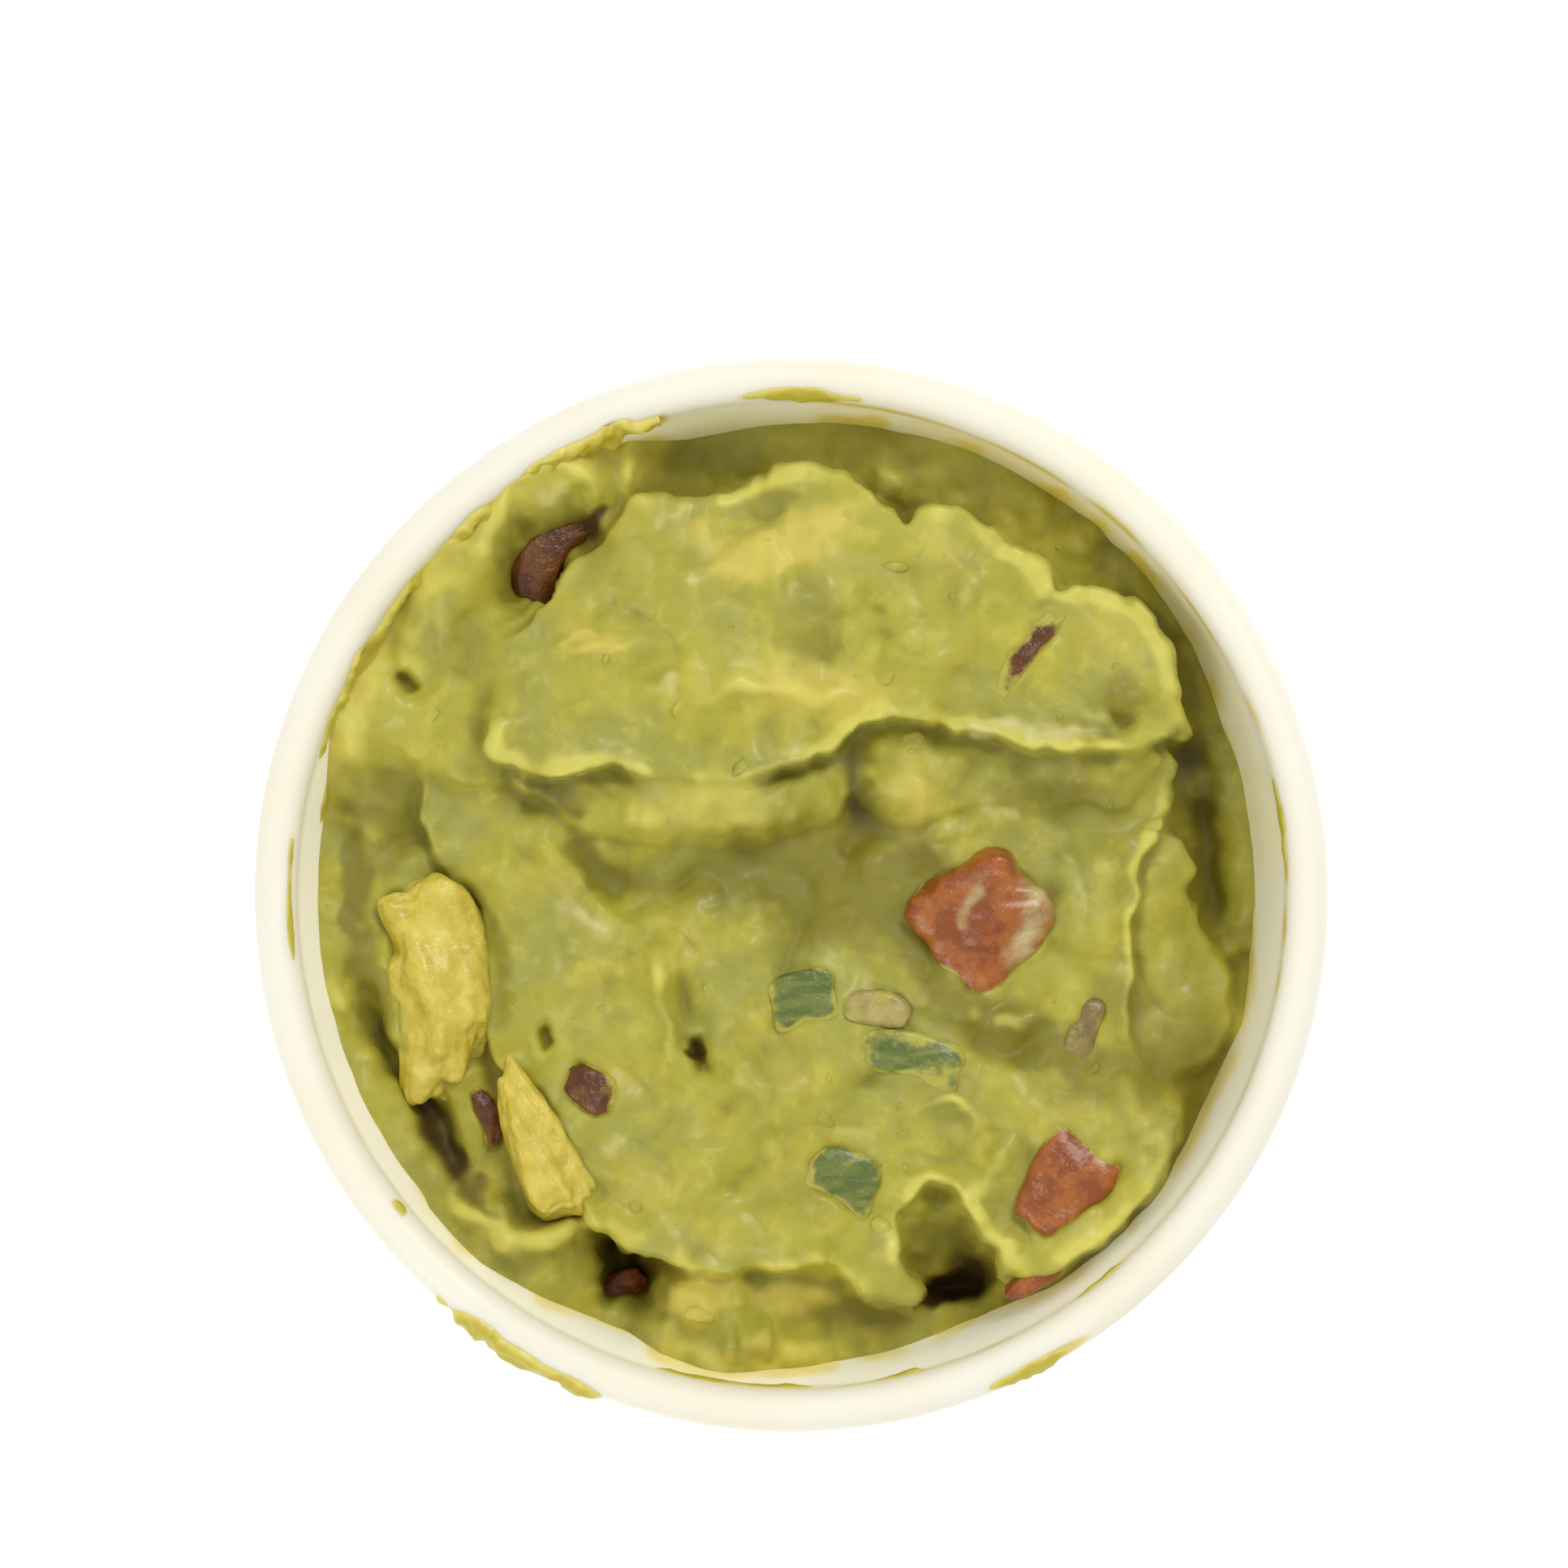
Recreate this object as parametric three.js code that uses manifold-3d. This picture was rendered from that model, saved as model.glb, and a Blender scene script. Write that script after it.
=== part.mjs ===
// A portion of guacamole in the small white paper cup that holds it, with its tomato, onion, pepper and
// avocado pieces. Sizes are millimetres and +Z is up. The cup stands on z = 0 with its axis on the z axis.
// +X is to the right and +Y away from someone who looks down on it the way round the photo shows.
import * as THREE from 'three';
import { mergeVertices } from 'three/addons/utils/BufferGeometryUtils.js';
import Module from 'manifold-3d';

const wasm = await Module();
wasm.setup();

// Cup
const CUP_HEIGHT = 50;
const CUP_SEGMENTS = 56;
const PAPER = 0.45;
const ROLL_RADIUS = 1.5;
const RIM_RADIUS = 38;
const ROLL_CENTRE_RADIUS = RIM_RADIUS - ROLL_RADIUS;
const ROLL_CENTRE_HEIGHT = CUP_HEIGHT - ROLL_RADIUS;
const ROLL_STEPS = 10;
const ROLL_START = THREE.MathUtils.degToRad(-140);
const MOUTH_RADIUS = ROLL_CENTRE_RADIUS - ROLL_RADIUS;
const WALL_TAPER = 0.113;
const BASE_LEVEL = 5.2;
const HEM_HEIGHT = 4.2;
const GAP = 0.3;

// Guacamole
const GRID_CELLS = 50;
const FLOOR_LEVEL = 38;
const FLOOR_BLEND = [22, 33];
const MERGE_WIDTH = 0.7;
const CURVE_STEPS = 4;
const CURVE_TENSION = 0.5;
const WALL_FIT_ROUNDS = 4;
const MASH = [
  { size: 7, rise: 0.5 },
  { size: 3.2, rise: 0.25 },
];

// Height at which the guacamole meets the wall: [degrees from +X towards +Y, height]
const WALL_LINE = [
  [0, 34.5], [17, 37], [32, 42], [48, 43.5], [66, 44], [84, 42.5], [101, 39.5], [108, 42], [116, 48.2],
  [124, 48.5], [136, 48.2], [150, 46.5], [162, 46], [170, 41.5], [178, 37], [186, 35.5], [197, 35],
  [211, 35.5], [221, 42.5], [230, 44], [238, 41], [247, 37], [254, 43], [262, 44], [271, 40.5], [285, 37.5], [294, 35.5],
  [303, 39], [318, 40.5], [328, 38], [336, 37.5], [344, 40], [352, 38],
];

// Folds of the mash. Each is a plateau inside a closed outline, with a raised lip and a cliff round it.
const FOLDS = [
  {
    name: 'right fold', top: 41.8, slope: [-0.15, 0], middle: [28, -4], lip: 0.2, lipWidth: 0.8, dome: 0,
    cliff: 2.2, drop: 9,
    outline: [
      [25, 6], [27.8, 3], [29.5, -1.5], [31, -5.5], [31.6, -8.5], [30.6, -11], [28.4, -12.6], [26, -13.2],
      [23, -12], [22, -4], [23, 3],
    ],
  },
  {
    name: 'left slope', top: 45.6, slope: [0.02, 0.04], middle: [-27, 14], lip: 0.2, lipWidth: 1, dome: 0,
    cliff: 2.4, drop: 8,
    outline: [
      [-20, 8.6], [-24, 8.4], [-27.4, 10.6], [-31.2, 13], [-34.5, 14.2], [-34, 18], [-31, 24], [-27, 27],
      [-22, 26.5], [-20.5, 23], [-18, 20], [-18, 14],
    ],
  },
  {
    name: 'front fold', top: 43.8, slope: [0, -0.035], middle: [0, -10], lip: 0.75, lipWidth: 0.75, dome: 0.5,
    cliff: 2, drop: 10,
    outline: [
      [27, 11.5], [26.7, 5.8], [25.2, 2.1], [24.4, -2.2], [24.1, -7.1], [24.3, -11.4], [26.6, -14.8],
      [26.4, -18.8], [23.4, -23.6], [19.7, -26.6], [16.9, -27], [14.3, -23.7], [12.6, -21.2], [10.9, -20.1],
      [8.9, -21.1], [7.6, -23.9], [7.3, -26.4], [8.6, -28.8], [6.3, -28.3], [3.1, -26.2], [-2, -25.9],
      [-4.9, -26.6], [-7.7, -26.2], [-13.1, -24.2], [-15.4, -21.6], [-17.6, -17.3], [-19.8, -13.4],
      [-21.4, -10.2], [-21.8, -6], [-22.2, -1.8], [-24.2, 1.8], [-26.4, 5.2], [-26, 9.8], [-23.7, 14.3],
      [-21.4, 20.6], [1.4, 25.8], [20.9, 19.5], [25, 15.8],
    ],
  },
  {
    name: 'skirt under the top fold', top: 45, slope: [0, 0.16], middle: [0, 8], lip: 0, lipWidth: 1, dome: 0,
    cliff: 2, drop: 9,
    outline: [
      [-20, 9], [-17.6, 7], [-14.6, 4.8], [-12, 4.6], [-9, 4], [-5, 3.6], [-0.5, 4], [3.2, 5.2], [4.4, 7.6],
      [6, 5.4], [9.4, 4.8], [12.5, 6.4], [16.5, 6], [20.5, 6.6], [24.2, 6.8], [26, 9.5], [25.2, 15], [21.6, 19],
      [0, 26], [-20, 19],
    ],
  },
  {
    name: 'top fold', top: 48.2, slope: [0, 0], middle: [0, 18], lip: 0.75, lipWidth: 0.65, dome: 0.5,
    cliff: 1.5, drop: 11,
    outline: [
      [-20.6, 9.4], [-21.3, 12.8], [-20.8, 16.6], [-17.4, 20.2], [-15.2, 23.2], [-12.2, 26], [-10.6, 28.2],
      [-7.1, 27.8], [-2.8, 29.2], [1.4, 29.8], [4.9, 28.8], [7.7, 26.4], [10.6, 27.2], [14.3, 25.2],
      [17.4, 23.1], [18.9, 20.9], [23.4, 20.7], [25.9, 18], [26.7, 14.4], [27, 11.9], [23.7, 10.5],
      [18.6, 10], [13.6, 11.4], [8.9, 12.9], [5.4, 12.3], [3.4, 10.8], [0.9, 9.6], [-3, 8.6], [-6, 8.3],
      [-9.4, 8.3], [-12.3, 9.6], [-16, 8.7],
    ],
  },
];

// Rounded lumps on the folds
const LUMPS = [
  { name: 'face lump left', rise: 2.2, centre: [-6.6, 5.9], half: [5.6, 2.1], turn: 0 },
  { name: 'face lump right', rise: 2.6, centre: [8.6, 7.8], half: [2.9, 2.9], turn: 0 },
  { name: 'face lump middle', rise: 1.6, centre: [-1.1, 5.8], half: [2.3, 1.5], turn: 20 },
  { name: 'lump beside the tomato', rise: 1.5, centre: [21.6, -0.8], half: [2.2, 5], turn: 0 },
  { name: 'lump on the top fold', rise: 0.9, centre: [23.2, 16], half: [2.9, 2.6], turn: 0 },
  { name: 'lump behind', rise: 1.4, centre: [7.3, 29.7], half: [1.2, 1.4], turn: 0 },
  { name: 'small lump behind', rise: 0.8, centre: [20.9, 25.8], half: [1.7, 1.1], turn: 30 },
  { name: 'low lump left', rise: 1.8, centre: [-30.4, 5.8], half: [2, 2], turn: 0 },
  { name: 'lower lump left', rise: 1.2, centre: [-27, 1.8], half: [2.2, 1.6], turn: -40 },
  { name: 'ledge lump', rise: 1.8, centre: [-7.1, -29.1], half: [2.3, 1.9], turn: 0 },
  { name: 'long ledge lump', rise: 1.5, centre: [0.6, -28.2], half: [3.1, 1.5], turn: 0 },
  { name: 'face in the notch', rise: 3.5, centre: [10.6, -24], half: [2, 3], turn: 0 },
  { name: 'lump in the right trough', rise: 1.4, centre: [29.2, 8.6], half: [0.9, 1.9], turn: 10 },
];

// Ridges (rise above 0) and grooves (below 0) drawn along a path
const STROKES = [
  {
    name: 'edge under the top fold', rise: 0.9, width: 1,
    path: [[-19.1, 5.4], [-16.3, 2.2], [-13.5, -1], [-10.6, -3.4]],
  },
  {
    name: 'slope down to the chunks', rise: -1.6, width: 3,
    path: [[-26, 3.4], [-22.8, -2], [-22, -8], [-20.6, -11.6]],
  },
  {
    name: 'face under the lip', rise: 1.3, width: 1.5,
    path: [[-13.6, 6.4], [-9, 6], [-4, 6.4], [0.6, 7.4], [3, 8.8]],
  },
  {
    name: 'hollow at its foot', rise: -1.7, width: 1.4,
    path: [[-15.2, 4.6], [-13.9, 1.6], [-11, 1], [-6.6, 2]],
  },
  {
    name: 'trough at its foot', rise: -1, width: 2.2,
    path: [[-6.6, 2], [-0.9, 3.2], [4.4, 4.6], [4.7, 9.4]],
  },
  {
    name: 'right end of the trough', rise: -0.5, width: 2,
    path: [[10.6, 3.4], [16.3, 5.2], [20.9, 4.8], [24, 5.6]],
  },
  {
    name: 'groove under the tomato', rise: -1, width: 1.3,
    path: [[11.4, -8.2], [15, -10.4], [18.6, -11.2], [22, -11.4]],
  },
  {
    name: 'ridge under the tomato', rise: 0.8, width: 1.1,
    path: [[7.1, -6.2], [12.3, -8.2], [16.9, -8.8], [20.3, -7.4]],
  },
  {
    name: 'swooping ridge', rise: 0.8, width: 1.2,
    path: [[-5.4, -8.5], [-4, -11.9], [-0.9, -14.5], [2, -15.7]],
  },
  {
    name: 'slope by the front tomato', rise: 0.8, width: 1.3,
    path: [[16, -15.7], [14.9, -19.4], [13.1, -21.4]],
  },
  {
    name: 'strip along the wall', rise: 1, width: 1.3,
    path: [[24, -12.5], [25.1, -17.1], [23.7, -21.7], [18.6, -25.8]],
  },
  {
    name: 'ridge down the left slope', rise: 0.9, width: 0.9,
    path: [[-23.7, 19.5], [-25.1, 14.3], [-26.3, 9.8]],
  },
  {
    name: 'groove down the left slope', rise: -0.9, width: 0.8,
    path: [[-21.4, 15.5], [-22.3, 11.5], [-22.9, 8.1]],
  },
  { name: 'dish on the top fold', rise: -1, width: 1.3, path: [[-5.4, 26.3], [-2.6, 27.4], [0.6, 27.6]] },
  { name: 'hollow on the top fold', rise: -0.8, width: 1.4, path: [[-1.4, 18.6], [2, 17.2], [3.7, 17.8]] },
  {
    name: 'dip behind the front lip', rise: -0.8, width: 0.9,
    path: [[10, 13.2], [14.6, 12.1], [20.3, 11.2], [24.3, 12.1]],
  },
  { name: 'pit with the onion', rise: -4, width: 2.1, path: [[-18.6, 20.8], [-18.2, 24.6], [-14, 27.2]] },
  {
    name: 'arch round the pit', rise: 0.9, width: 0.9,
    path: [[-21.4, 25.2], [-19.6, 29.2], [-16.3, 30.6], [-13.5, 28.7]],
  },
  {
    name: 'fin at the rim', rise: 1.4, width: 0.8,
    path: [[-8, 34], [-10.6, 32.6], [-11.4, 30.9], [-10.6, 28.3]],
  },
  { name: 'round hollow behind', rise: -0.5, width: 1.7, path: [[-8, 30.3], [-5.4, 30.5]] },
  {
    name: 'pit at the front', rise: -1.2, width: 1.8,
    path: [[10.9, -22.8], [11.7, -25.7], [10, -27.9], [14, -27.4]],
  },
  {
    name: 'crevice at the front wall', rise: -3.2, width: 0.9,
    path: [[8.6, -29.6], [11.4, -28.9], [14.6, -27.9]],
  },
  {
    name: 'dark pit at the front', rise: -6.5, width: 1.4,
    path: [[-13, -25.4], [-12.6, -27.4], [-11.4, -29.1]],
  },
  { name: 'cleft in the front ledge', rise: 1, width: 0.9, path: [[-4, -26.8], [-3.4, -29.7]] },
  { name: 'bump at the front', rise: 2.2, width: 1.4, path: [[-4, -31.9], [-1.4, -31.9]] },
  {
    name: 'ridge at the lower left', rise: 3, width: 1.1,
    path: [[-22, -23.9], [-18, -24.6], [-13.4, -23.3]],
  },
  {
    name: 'crest at the lower left', rise: 1.6, width: 0.8,
    path: [[-24.6, -22.2], [-21.4, -22.8], [-21.4, -21.4]],
  },
  {
    name: 'crevice along the left wall', rise: -2.6, width: 1.1,
    path: [[-31.8, -5.4], [-30, -10.2], [-27.1, -14.8], [-23.7, -19.9]],
  },
  {
    name: 'crevice along the right wall', rise: -2.4, width: 1.4,
    path: [[27.7, 12.6], [29.7, 6.9], [30.9, 1.2], [31.4, -2.2]],
  },
  {
    name: 'film on the left wall', rise: 1.2, width: 1.1,
    path: [[-32.9, 13.8], [-31.7, 11.5], [-30.6, 9.2]],
  },
];

// Pieces in the mash: block sizes are length, width and depth. A piece lies at its place turned about +Z by
// turn, tipped by pitch and roll, with its top standing proud of the mash. In degrees.
const PIECES = [
  {
    name: 'tomato_dice_large', colour: 0xa9532e, at: [13.8, -1.7], size: [9, 8.8, 6.5],
    turn: 36, pitch: -8, roll: 10,
    proud: 1.5, steps: [5, 5, 3], squareness: 4.5, taper: -0.14, bend: 0,
  },
  {
    name: 'tomato_dice_front', colour: 0xad5a32, at: [19.4, -21], size: [7.4, 5.4, 4.5],
    turn: 50, pitch: 4, roll: -6,
    proud: 1, steps: [4, 4, 3], squareness: 5, taper: 0.35, bend: 0,
  },
  {
    name: 'tomato_sliver', colour: 0x9c4a2a, at: [17.4, -27.6], size: [4.4, 1.6, 2.2],
    turn: 28, pitch: 0, roll: 0,
    proud: 0.6, steps: [4, 2, 2], squareness: 3, taper: 0, bend: 0,
  },
  {
    name: 'red_onion_pit', colour: 0x70422a, at: [-17.5, 24.4], size: [8.4, 3.2, 2],
    turn: 52, pitch: 0, roll: 12,
    proud: 0.9, steps: [7, 2, 2], squareness: 4, taper: -0.35, bend: 0.5,
  },
  {
    name: 'red_onion_top', colour: 0x8a5a3c, at: [16.5, 17.1], size: [7.2, 1.9, 1.6],
    turn: 53, pitch: 0, roll: 0,
    proud: 0.45, steps: [6, 2, 2], squareness: 4, taper: 0.1, bend: 0.12,
  },
  {
    name: 'red_onion_left', colour: 0x73492a, at: [-14.4, -14], size: [4.3, 3.3, 2.4],
    turn: -30, pitch: 0, roll: 0,
    proud: 0.6, steps: [4, 3, 2], squareness: 3, taper: 0, bend: 0,
  },
  {
    name: 'red_onion_low', colour: 0x7d4a3a, at: [-21.8, -16], size: [4.6, 1.9, 2],
    turn: -72, pitch: 0, roll: 0,
    proud: 0.8, steps: [4, 2, 2], squareness: 3, taper: 0, bend: 0.2,
  },
  {
    name: 'red_onion_deep', colour: 0x6e3a26, at: [-12.4, -28.8], size: [3.6, 2.4, 1.8],
    turn: 20, pitch: 0, roll: 0,
    proud: 1, steps: [3, 2, 2], squareness: 3, taper: 0, bend: 0,
  },
  {
    name: 'onion_pale', colour: 0xb0a070, at: [6.2, -8.1], size: [4.6, 2.4, 1.6],
    turn: -12, pitch: 0, roll: 0,
    proud: 0.5, steps: [4, 2, 2], squareness: 4, taper: 0, bend: 0.15,
  },
  {
    name: 'onion_mauve', colour: 0xa5915f, at: [20.9, -9.6], size: [4.6, 2.3, 1.5],
    turn: 70, pitch: 0, roll: 0,
    proud: 0.5, steps: [4, 2, 2], squareness: 4, taper: 0, bend: 0.15,
  },
  {
    name: 'pepper_green_left', colour: 0x7d8f50, at: [0.9, -7.4], size: [4.8, 4, 1.4],
    turn: 12, pitch: 0, roll: 0,
    proud: 0.45, steps: [4, 3, 2], squareness: 5, taper: 0, bend: 0.12,
  },
  {
    name: 'pepper_green_middle', colour: 0x7a8a48, at: [8.7, -11.6], size: [7.4, 3.3, 1.4],
    turn: -14, pitch: 0, roll: 0,
    proud: 0.45, steps: [5, 3, 2], squareness: 5, taper: 0.1, bend: 0.1,
  },
  {
    name: 'pepper_green_front', colour: 0x7e8c4a, at: [3.8, -20.4], size: [5.2, 4, 1.4],
    turn: -25, pitch: 0, roll: 0,
    proud: 0.45, steps: [4, 3, 2], squareness: 4, taper: 0.15, bend: 0.1,
  },
  {
    name: 'avocado_chunk_left', colour: 0xcdb95a, at: [-25.3, -6.6], size: [15, 7, 6.5],
    turn: -81, pitch: 0, roll: -14,
    proud: 2.6, steps: [7, 4, 3], squareness: 2.8, taper: -0.12, bend: 0.15,
  },
  {
    name: 'avocado_chunk_front', colour: 0xc4b853, at: [-18, -17.5], size: [11.4, 4.2, 6],
    turn: -66, pitch: 0, roll: 0,
    proud: 2.2, steps: [6, 3, 3], squareness: 2.8, taper: 0.3, bend: -0.05,
  },
];

const PAPER_WHITE = 0xf6f1e2;
const GUACAMOLE_GREEN = 0xb4b152;

/** Inner radius of the cup's wall at a height. */
function wallRadius(z) {
  return MOUTH_RADIUS - WALL_TAPER * Math.max(ROLL_CENTRE_HEIGHT - z, 0);
}

/** Blend from 0 at low to 1 at high with flat ends. */
function smoothStep(low, high, value) {
  const t = THREE.MathUtils.clamp((value - low) / (high - low), 0, 1);
  return t * t * (3 - 2 * t);
}

/** The larger of two heights, rounded where they cross. */
function smoothMax(a, b, width) {
  const h = THREE.MathUtils.clamp(0.5 + (0.5 * (a - b)) / width, 0, 1);
  return b * (1 - h) + a * h + width * h * (1 - h);
}

/** A repeatable number from -1 to 1 for a point of an integer lattice. */
function latticeValue(i, j) {
  const turned = Math.sin(i * 127.1 + j * 311.7) * 43758.5453;
  return (turned - Math.floor(turned)) * 2 - 1;
}

/** Smooth bumps of one size, from -1 to 1. */
function bumps(x, y, size) {
  const u = x / size;
  const v = y / size;
  const i = Math.floor(u);
  const j = Math.floor(v);
  const s = smoothStep(0, 1, u - i);
  const t = smoothStep(0, 1, v - j);
  const near = latticeValue(i, j) * (1 - s) + latticeValue(i + 1, j) * s;
  const far = latticeValue(i, j + 1) * (1 - s) + latticeValue(i + 1, j + 1) * s;
  return near * (1 - t) + far * t;
}

/** Points along a smooth curve through the given ones. */
function curveThrough(points, closed) {
  const knots = points.map(([x, y]) => new THREE.Vector3(x, y, 0));
  const spans = closed ? knots.length : knots.length - 1;
  const curve = new THREE.CatmullRomCurve3(knots, closed, 'catmullrom', CURVE_TENSION);
  const line = curve.getPoints(spans * CURVE_STEPS);
  return closed ? line.slice(0, -1) : line;
}

/** Distance from a point to a line, with how far along the line the nearest place is (0 to 1). */
function nearestOnLine(line, closed, x, y) {
  const spans = closed ? line.length : line.length - 1;
  let distance = Infinity;
  let along = 0;
  for (let i = 0; i < spans; i += 1) {
    const a = line[i];
    const b = line[(i + 1) % line.length];
    const dx = b.x - a.x;
    const dy = b.y - a.y;
    const t = THREE.MathUtils.clamp(((x - a.x) * dx + (y - a.y) * dy) / (dx * dx + dy * dy), 0, 1);
    const d = Math.hypot(x - a.x - t * dx, y - a.y - t * dy);
    if (d < distance) {
      distance = d;
      along = (i + t) / spans;
    }
  }
  return { distance, along };
}

/** Whether a point lies inside a closed line. */
function isInside(line, x, y) {
  let inside = false;
  for (let i = 0; i < line.length; i += 1) {
    const a = line[i];
    const b = line[(i + 1) % line.length];
    if (a.y > y !== b.y > y && x < ((b.x - a.x) * (y - a.y)) / (b.y - a.y) + a.x) {
      inside = !inside;
    }
  }
  return inside;
}

/** Height of the guacamole where it meets the wall, at an angle. */
function wallLineHeight(angle) {
  const degrees = THREE.MathUtils.euclideanModulo(THREE.MathUtils.radToDeg(angle), 360);
  const next = WALL_LINE.findIndex(([at]) => at > degrees);
  const [toAt, toHeight] = next < 0 ? [360, WALL_LINE[0][1]] : WALL_LINE[next];
  const [fromAt, fromHeight] = WALL_LINE.at(next < 0 ? -1 : next - 1);
  return THREE.MathUtils.mapLinear(degrees, fromAt, toAt, fromHeight, toHeight);
}

const foldLines = FOLDS.map((fold) => curveThrough(fold.outline, true));
const strokeLines = STROKES.map((stroke) => curveThrough(stroke.path, false));

/** Height of one fold at a place: its plateau and lip inside the outline, its cliff outside. */
function foldHeight(fold, line, x, y) {
  const { distance } = nearestOnLine(line, true, x, y);
  const plateau = fold.top + fold.slope[0] * (x - fold.middle[0]) + fold.slope[1] * (y - fold.middle[1]);
  const lipAt = (inset) => fold.lip * Math.exp(-(((inset - 0.35 * fold.lipWidth) / fold.lipWidth) ** 2));
  if (isInside(line, x, y)) {
    return plateau + lipAt(distance) + fold.dome * (1 - Math.exp(-((distance / 6) ** 2)));
  }
  return plateau + lipAt(0) - fold.drop * (1 - Math.exp(-((distance / fold.cliff) ** 1.25)));
}

/** How much a lump raises a place. */
function lumpRise(lump, x, y) {
  const turn = THREE.MathUtils.degToRad(lump.turn);
  const dx = x - lump.centre[0];
  const dy = y - lump.centre[1];
  const u = (dx * Math.cos(turn) + dy * Math.sin(turn)) / lump.half[0];
  const v = (dy * Math.cos(turn) - dx * Math.sin(turn)) / lump.half[1];
  return lump.rise * Math.exp(-((u * u + v * v) ** 1.5));
}

/** How much a ridge or groove changes a place, fading out towards the ends of its path. */
function strokeRise(stroke, line, x, y) {
  const { distance, along } = nearestOnLine(line, false, x, y);
  const fade = smoothStep(-0.15, 0.25, along) * smoothStep(-0.15, 0.25, 1 - along);
  return stroke.rise * fade * Math.exp(-((distance / stroke.width) ** 2));
}

/** Height of the guacamole's surface at a place. */
function surfaceHeight(x, y) {
  const nearWall = smoothStep(FLOOR_BLEND[0], FLOOR_BLEND[1], Math.hypot(x, y));
  let height = wallLineHeight(Math.atan2(y, x)) * nearWall + FLOOR_LEVEL * (1 - nearWall);
  FOLDS.forEach((fold, i) => {
    height = smoothMax(height, foldHeight(fold, foldLines[i], x, y), MERGE_WIDTH);
  });
  LUMPS.forEach((lump) => {
    height += lumpRise(lump, x, y);
  });
  STROKES.forEach((stroke, i) => {
    height += strokeRise(stroke, strokeLines[i], x, y);
  });
  MASH.forEach(({ size, rise }) => {
    height += rise * bumps(x, y, size);
  });
  return height;
}

/** A point of the surface: u and v from -1 to 1 cover a square that is drawn out to the round wall. */
function surfacePoint(u, v) {
  const x = u * Math.sqrt(1 - (v * v) / 2);
  const y = v * Math.sqrt(1 - (u * u) / 2);
  const angle = Math.atan2(y, x);
  let reach = MOUTH_RADIUS;
  for (let round = 0; round < WALL_FIT_ROUNDS; round += 1) {
    reach = wallRadius(surfaceHeight(reach * Math.cos(angle), reach * Math.sin(angle))) - GAP;
  }
  return [x * reach, y * reach, surfaceHeight(x * reach, y * reach)];
}

/** Grid places round the edge of a square of cells, counter-clockwise. */
function squareEdge(cells) {
  const sides = [
    (k) => [k, 0],
    (k) => [cells, k],
    (k) => [cells - k, cells],
    (k) => [0, cells - k],
  ];
  return sides.flatMap((side) => Array.from({ length: cells }, (_, k) => side(k)));
}

/** The guacamole before its pieces are cut out: the surface, a side down the wall and a flat floor. */
function guacamoleBody() {
  const positions = [];
  const triangles = [];
  const row = GRID_CELLS + 1;
  for (let j = 0; j < row; j += 1) {
    for (let i = 0; i < row; i += 1) {
      positions.push(...surfacePoint((2 * i) / GRID_CELLS - 1, (2 * j) / GRID_CELLS - 1));
    }
  }
  for (let j = 0; j < GRID_CELLS; j += 1) {
    for (let i = 0; i < GRID_CELLS; i += 1) {
      const a = j * row + i;
      const b = a + 1;
      const c = a + row;
      const d = c + 1;
      const descending = i < GRID_CELLS / 2 === j < GRID_CELLS / 2;
      triangles.push(...(descending ? [a, b, c, b, d, c] : [a, b, d, a, d, c]));
    }
  }
  const floor = BASE_LEVEL + GAP;
  const edge = squareEdge(GRID_CELLS).map(([i, j]) => j * row + i);
  const firstFoot = positions.length / 3;
  edge.forEach((vertex) => {
    const angle = Math.atan2(positions[3 * vertex + 1], positions[3 * vertex]);
    const reach = wallRadius(floor) - GAP;
    positions.push(reach * Math.cos(angle), reach * Math.sin(angle), floor);
  });
  const centre = positions.length / 3;
  positions.push(0, 0, floor);
  edge.forEach((vertex, k) => {
    const next = (k + 1) % edge.length;
    triangles.push(firstFoot + k, firstFoot + next, edge[next], firstFoot + k, edge[next], vertex);
    triangles.push(centre, firstFoot + next, firstFoot + k);
  });
  const geometry = new THREE.BufferGeometry();
  geometry.setAttribute('position', new THREE.Float32BufferAttribute(positions, 3));
  geometry.setIndex(triangles);
  return geometry;
}

/** The same surface with shared vertices merged and flattened triangles dropped. */
function welded(geometry) {
  geometry.deleteAttribute('normal');
  geometry.deleteAttribute('uv');
  const merged = mergeVertices(geometry);
  const index = merged.index.array;
  const kept = [];
  for (let i = 0; i < index.length; i += 3) {
    const [a, b, c] = index.subarray(i, i + 3);
    if (a !== b && b !== c && c !== a) {
      kept.push(a, b, c);
    }
  }
  merged.setIndex(kept);
  return merged;
}

/** A solid for cutting and joining, from a closed surface. */
function solidFrom(geometry) {
  return new wasm.Manifold(
    new wasm.Mesh({
      numProp: 3,
      vertProperties: new Float32Array(geometry.attributes.position.array),
      triVerts: new Uint32Array(geometry.index.array),
    }),
  );
}

/** The surface of a solid. */
function surfaceOf(solid) {
  const mesh = solid.getMesh();
  const geometry = new THREE.BufferGeometry();
  geometry.setAttribute('position', new THREE.BufferAttribute(mesh.vertProperties, 3));
  geometry.setIndex(new THREE.BufferAttribute(mesh.triVerts, 1));
  return geometry;
}

/** A profile of [radius, height] points turned round the cup's axis. */
function turned(profile) {
  const points = profile.map(([radius, height]) => new THREE.Vector2(radius, height));
  return welded(new THREE.LatheGeometry(points, CUP_SEGMENTS).rotateX(Math.PI / 2));
}

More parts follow.
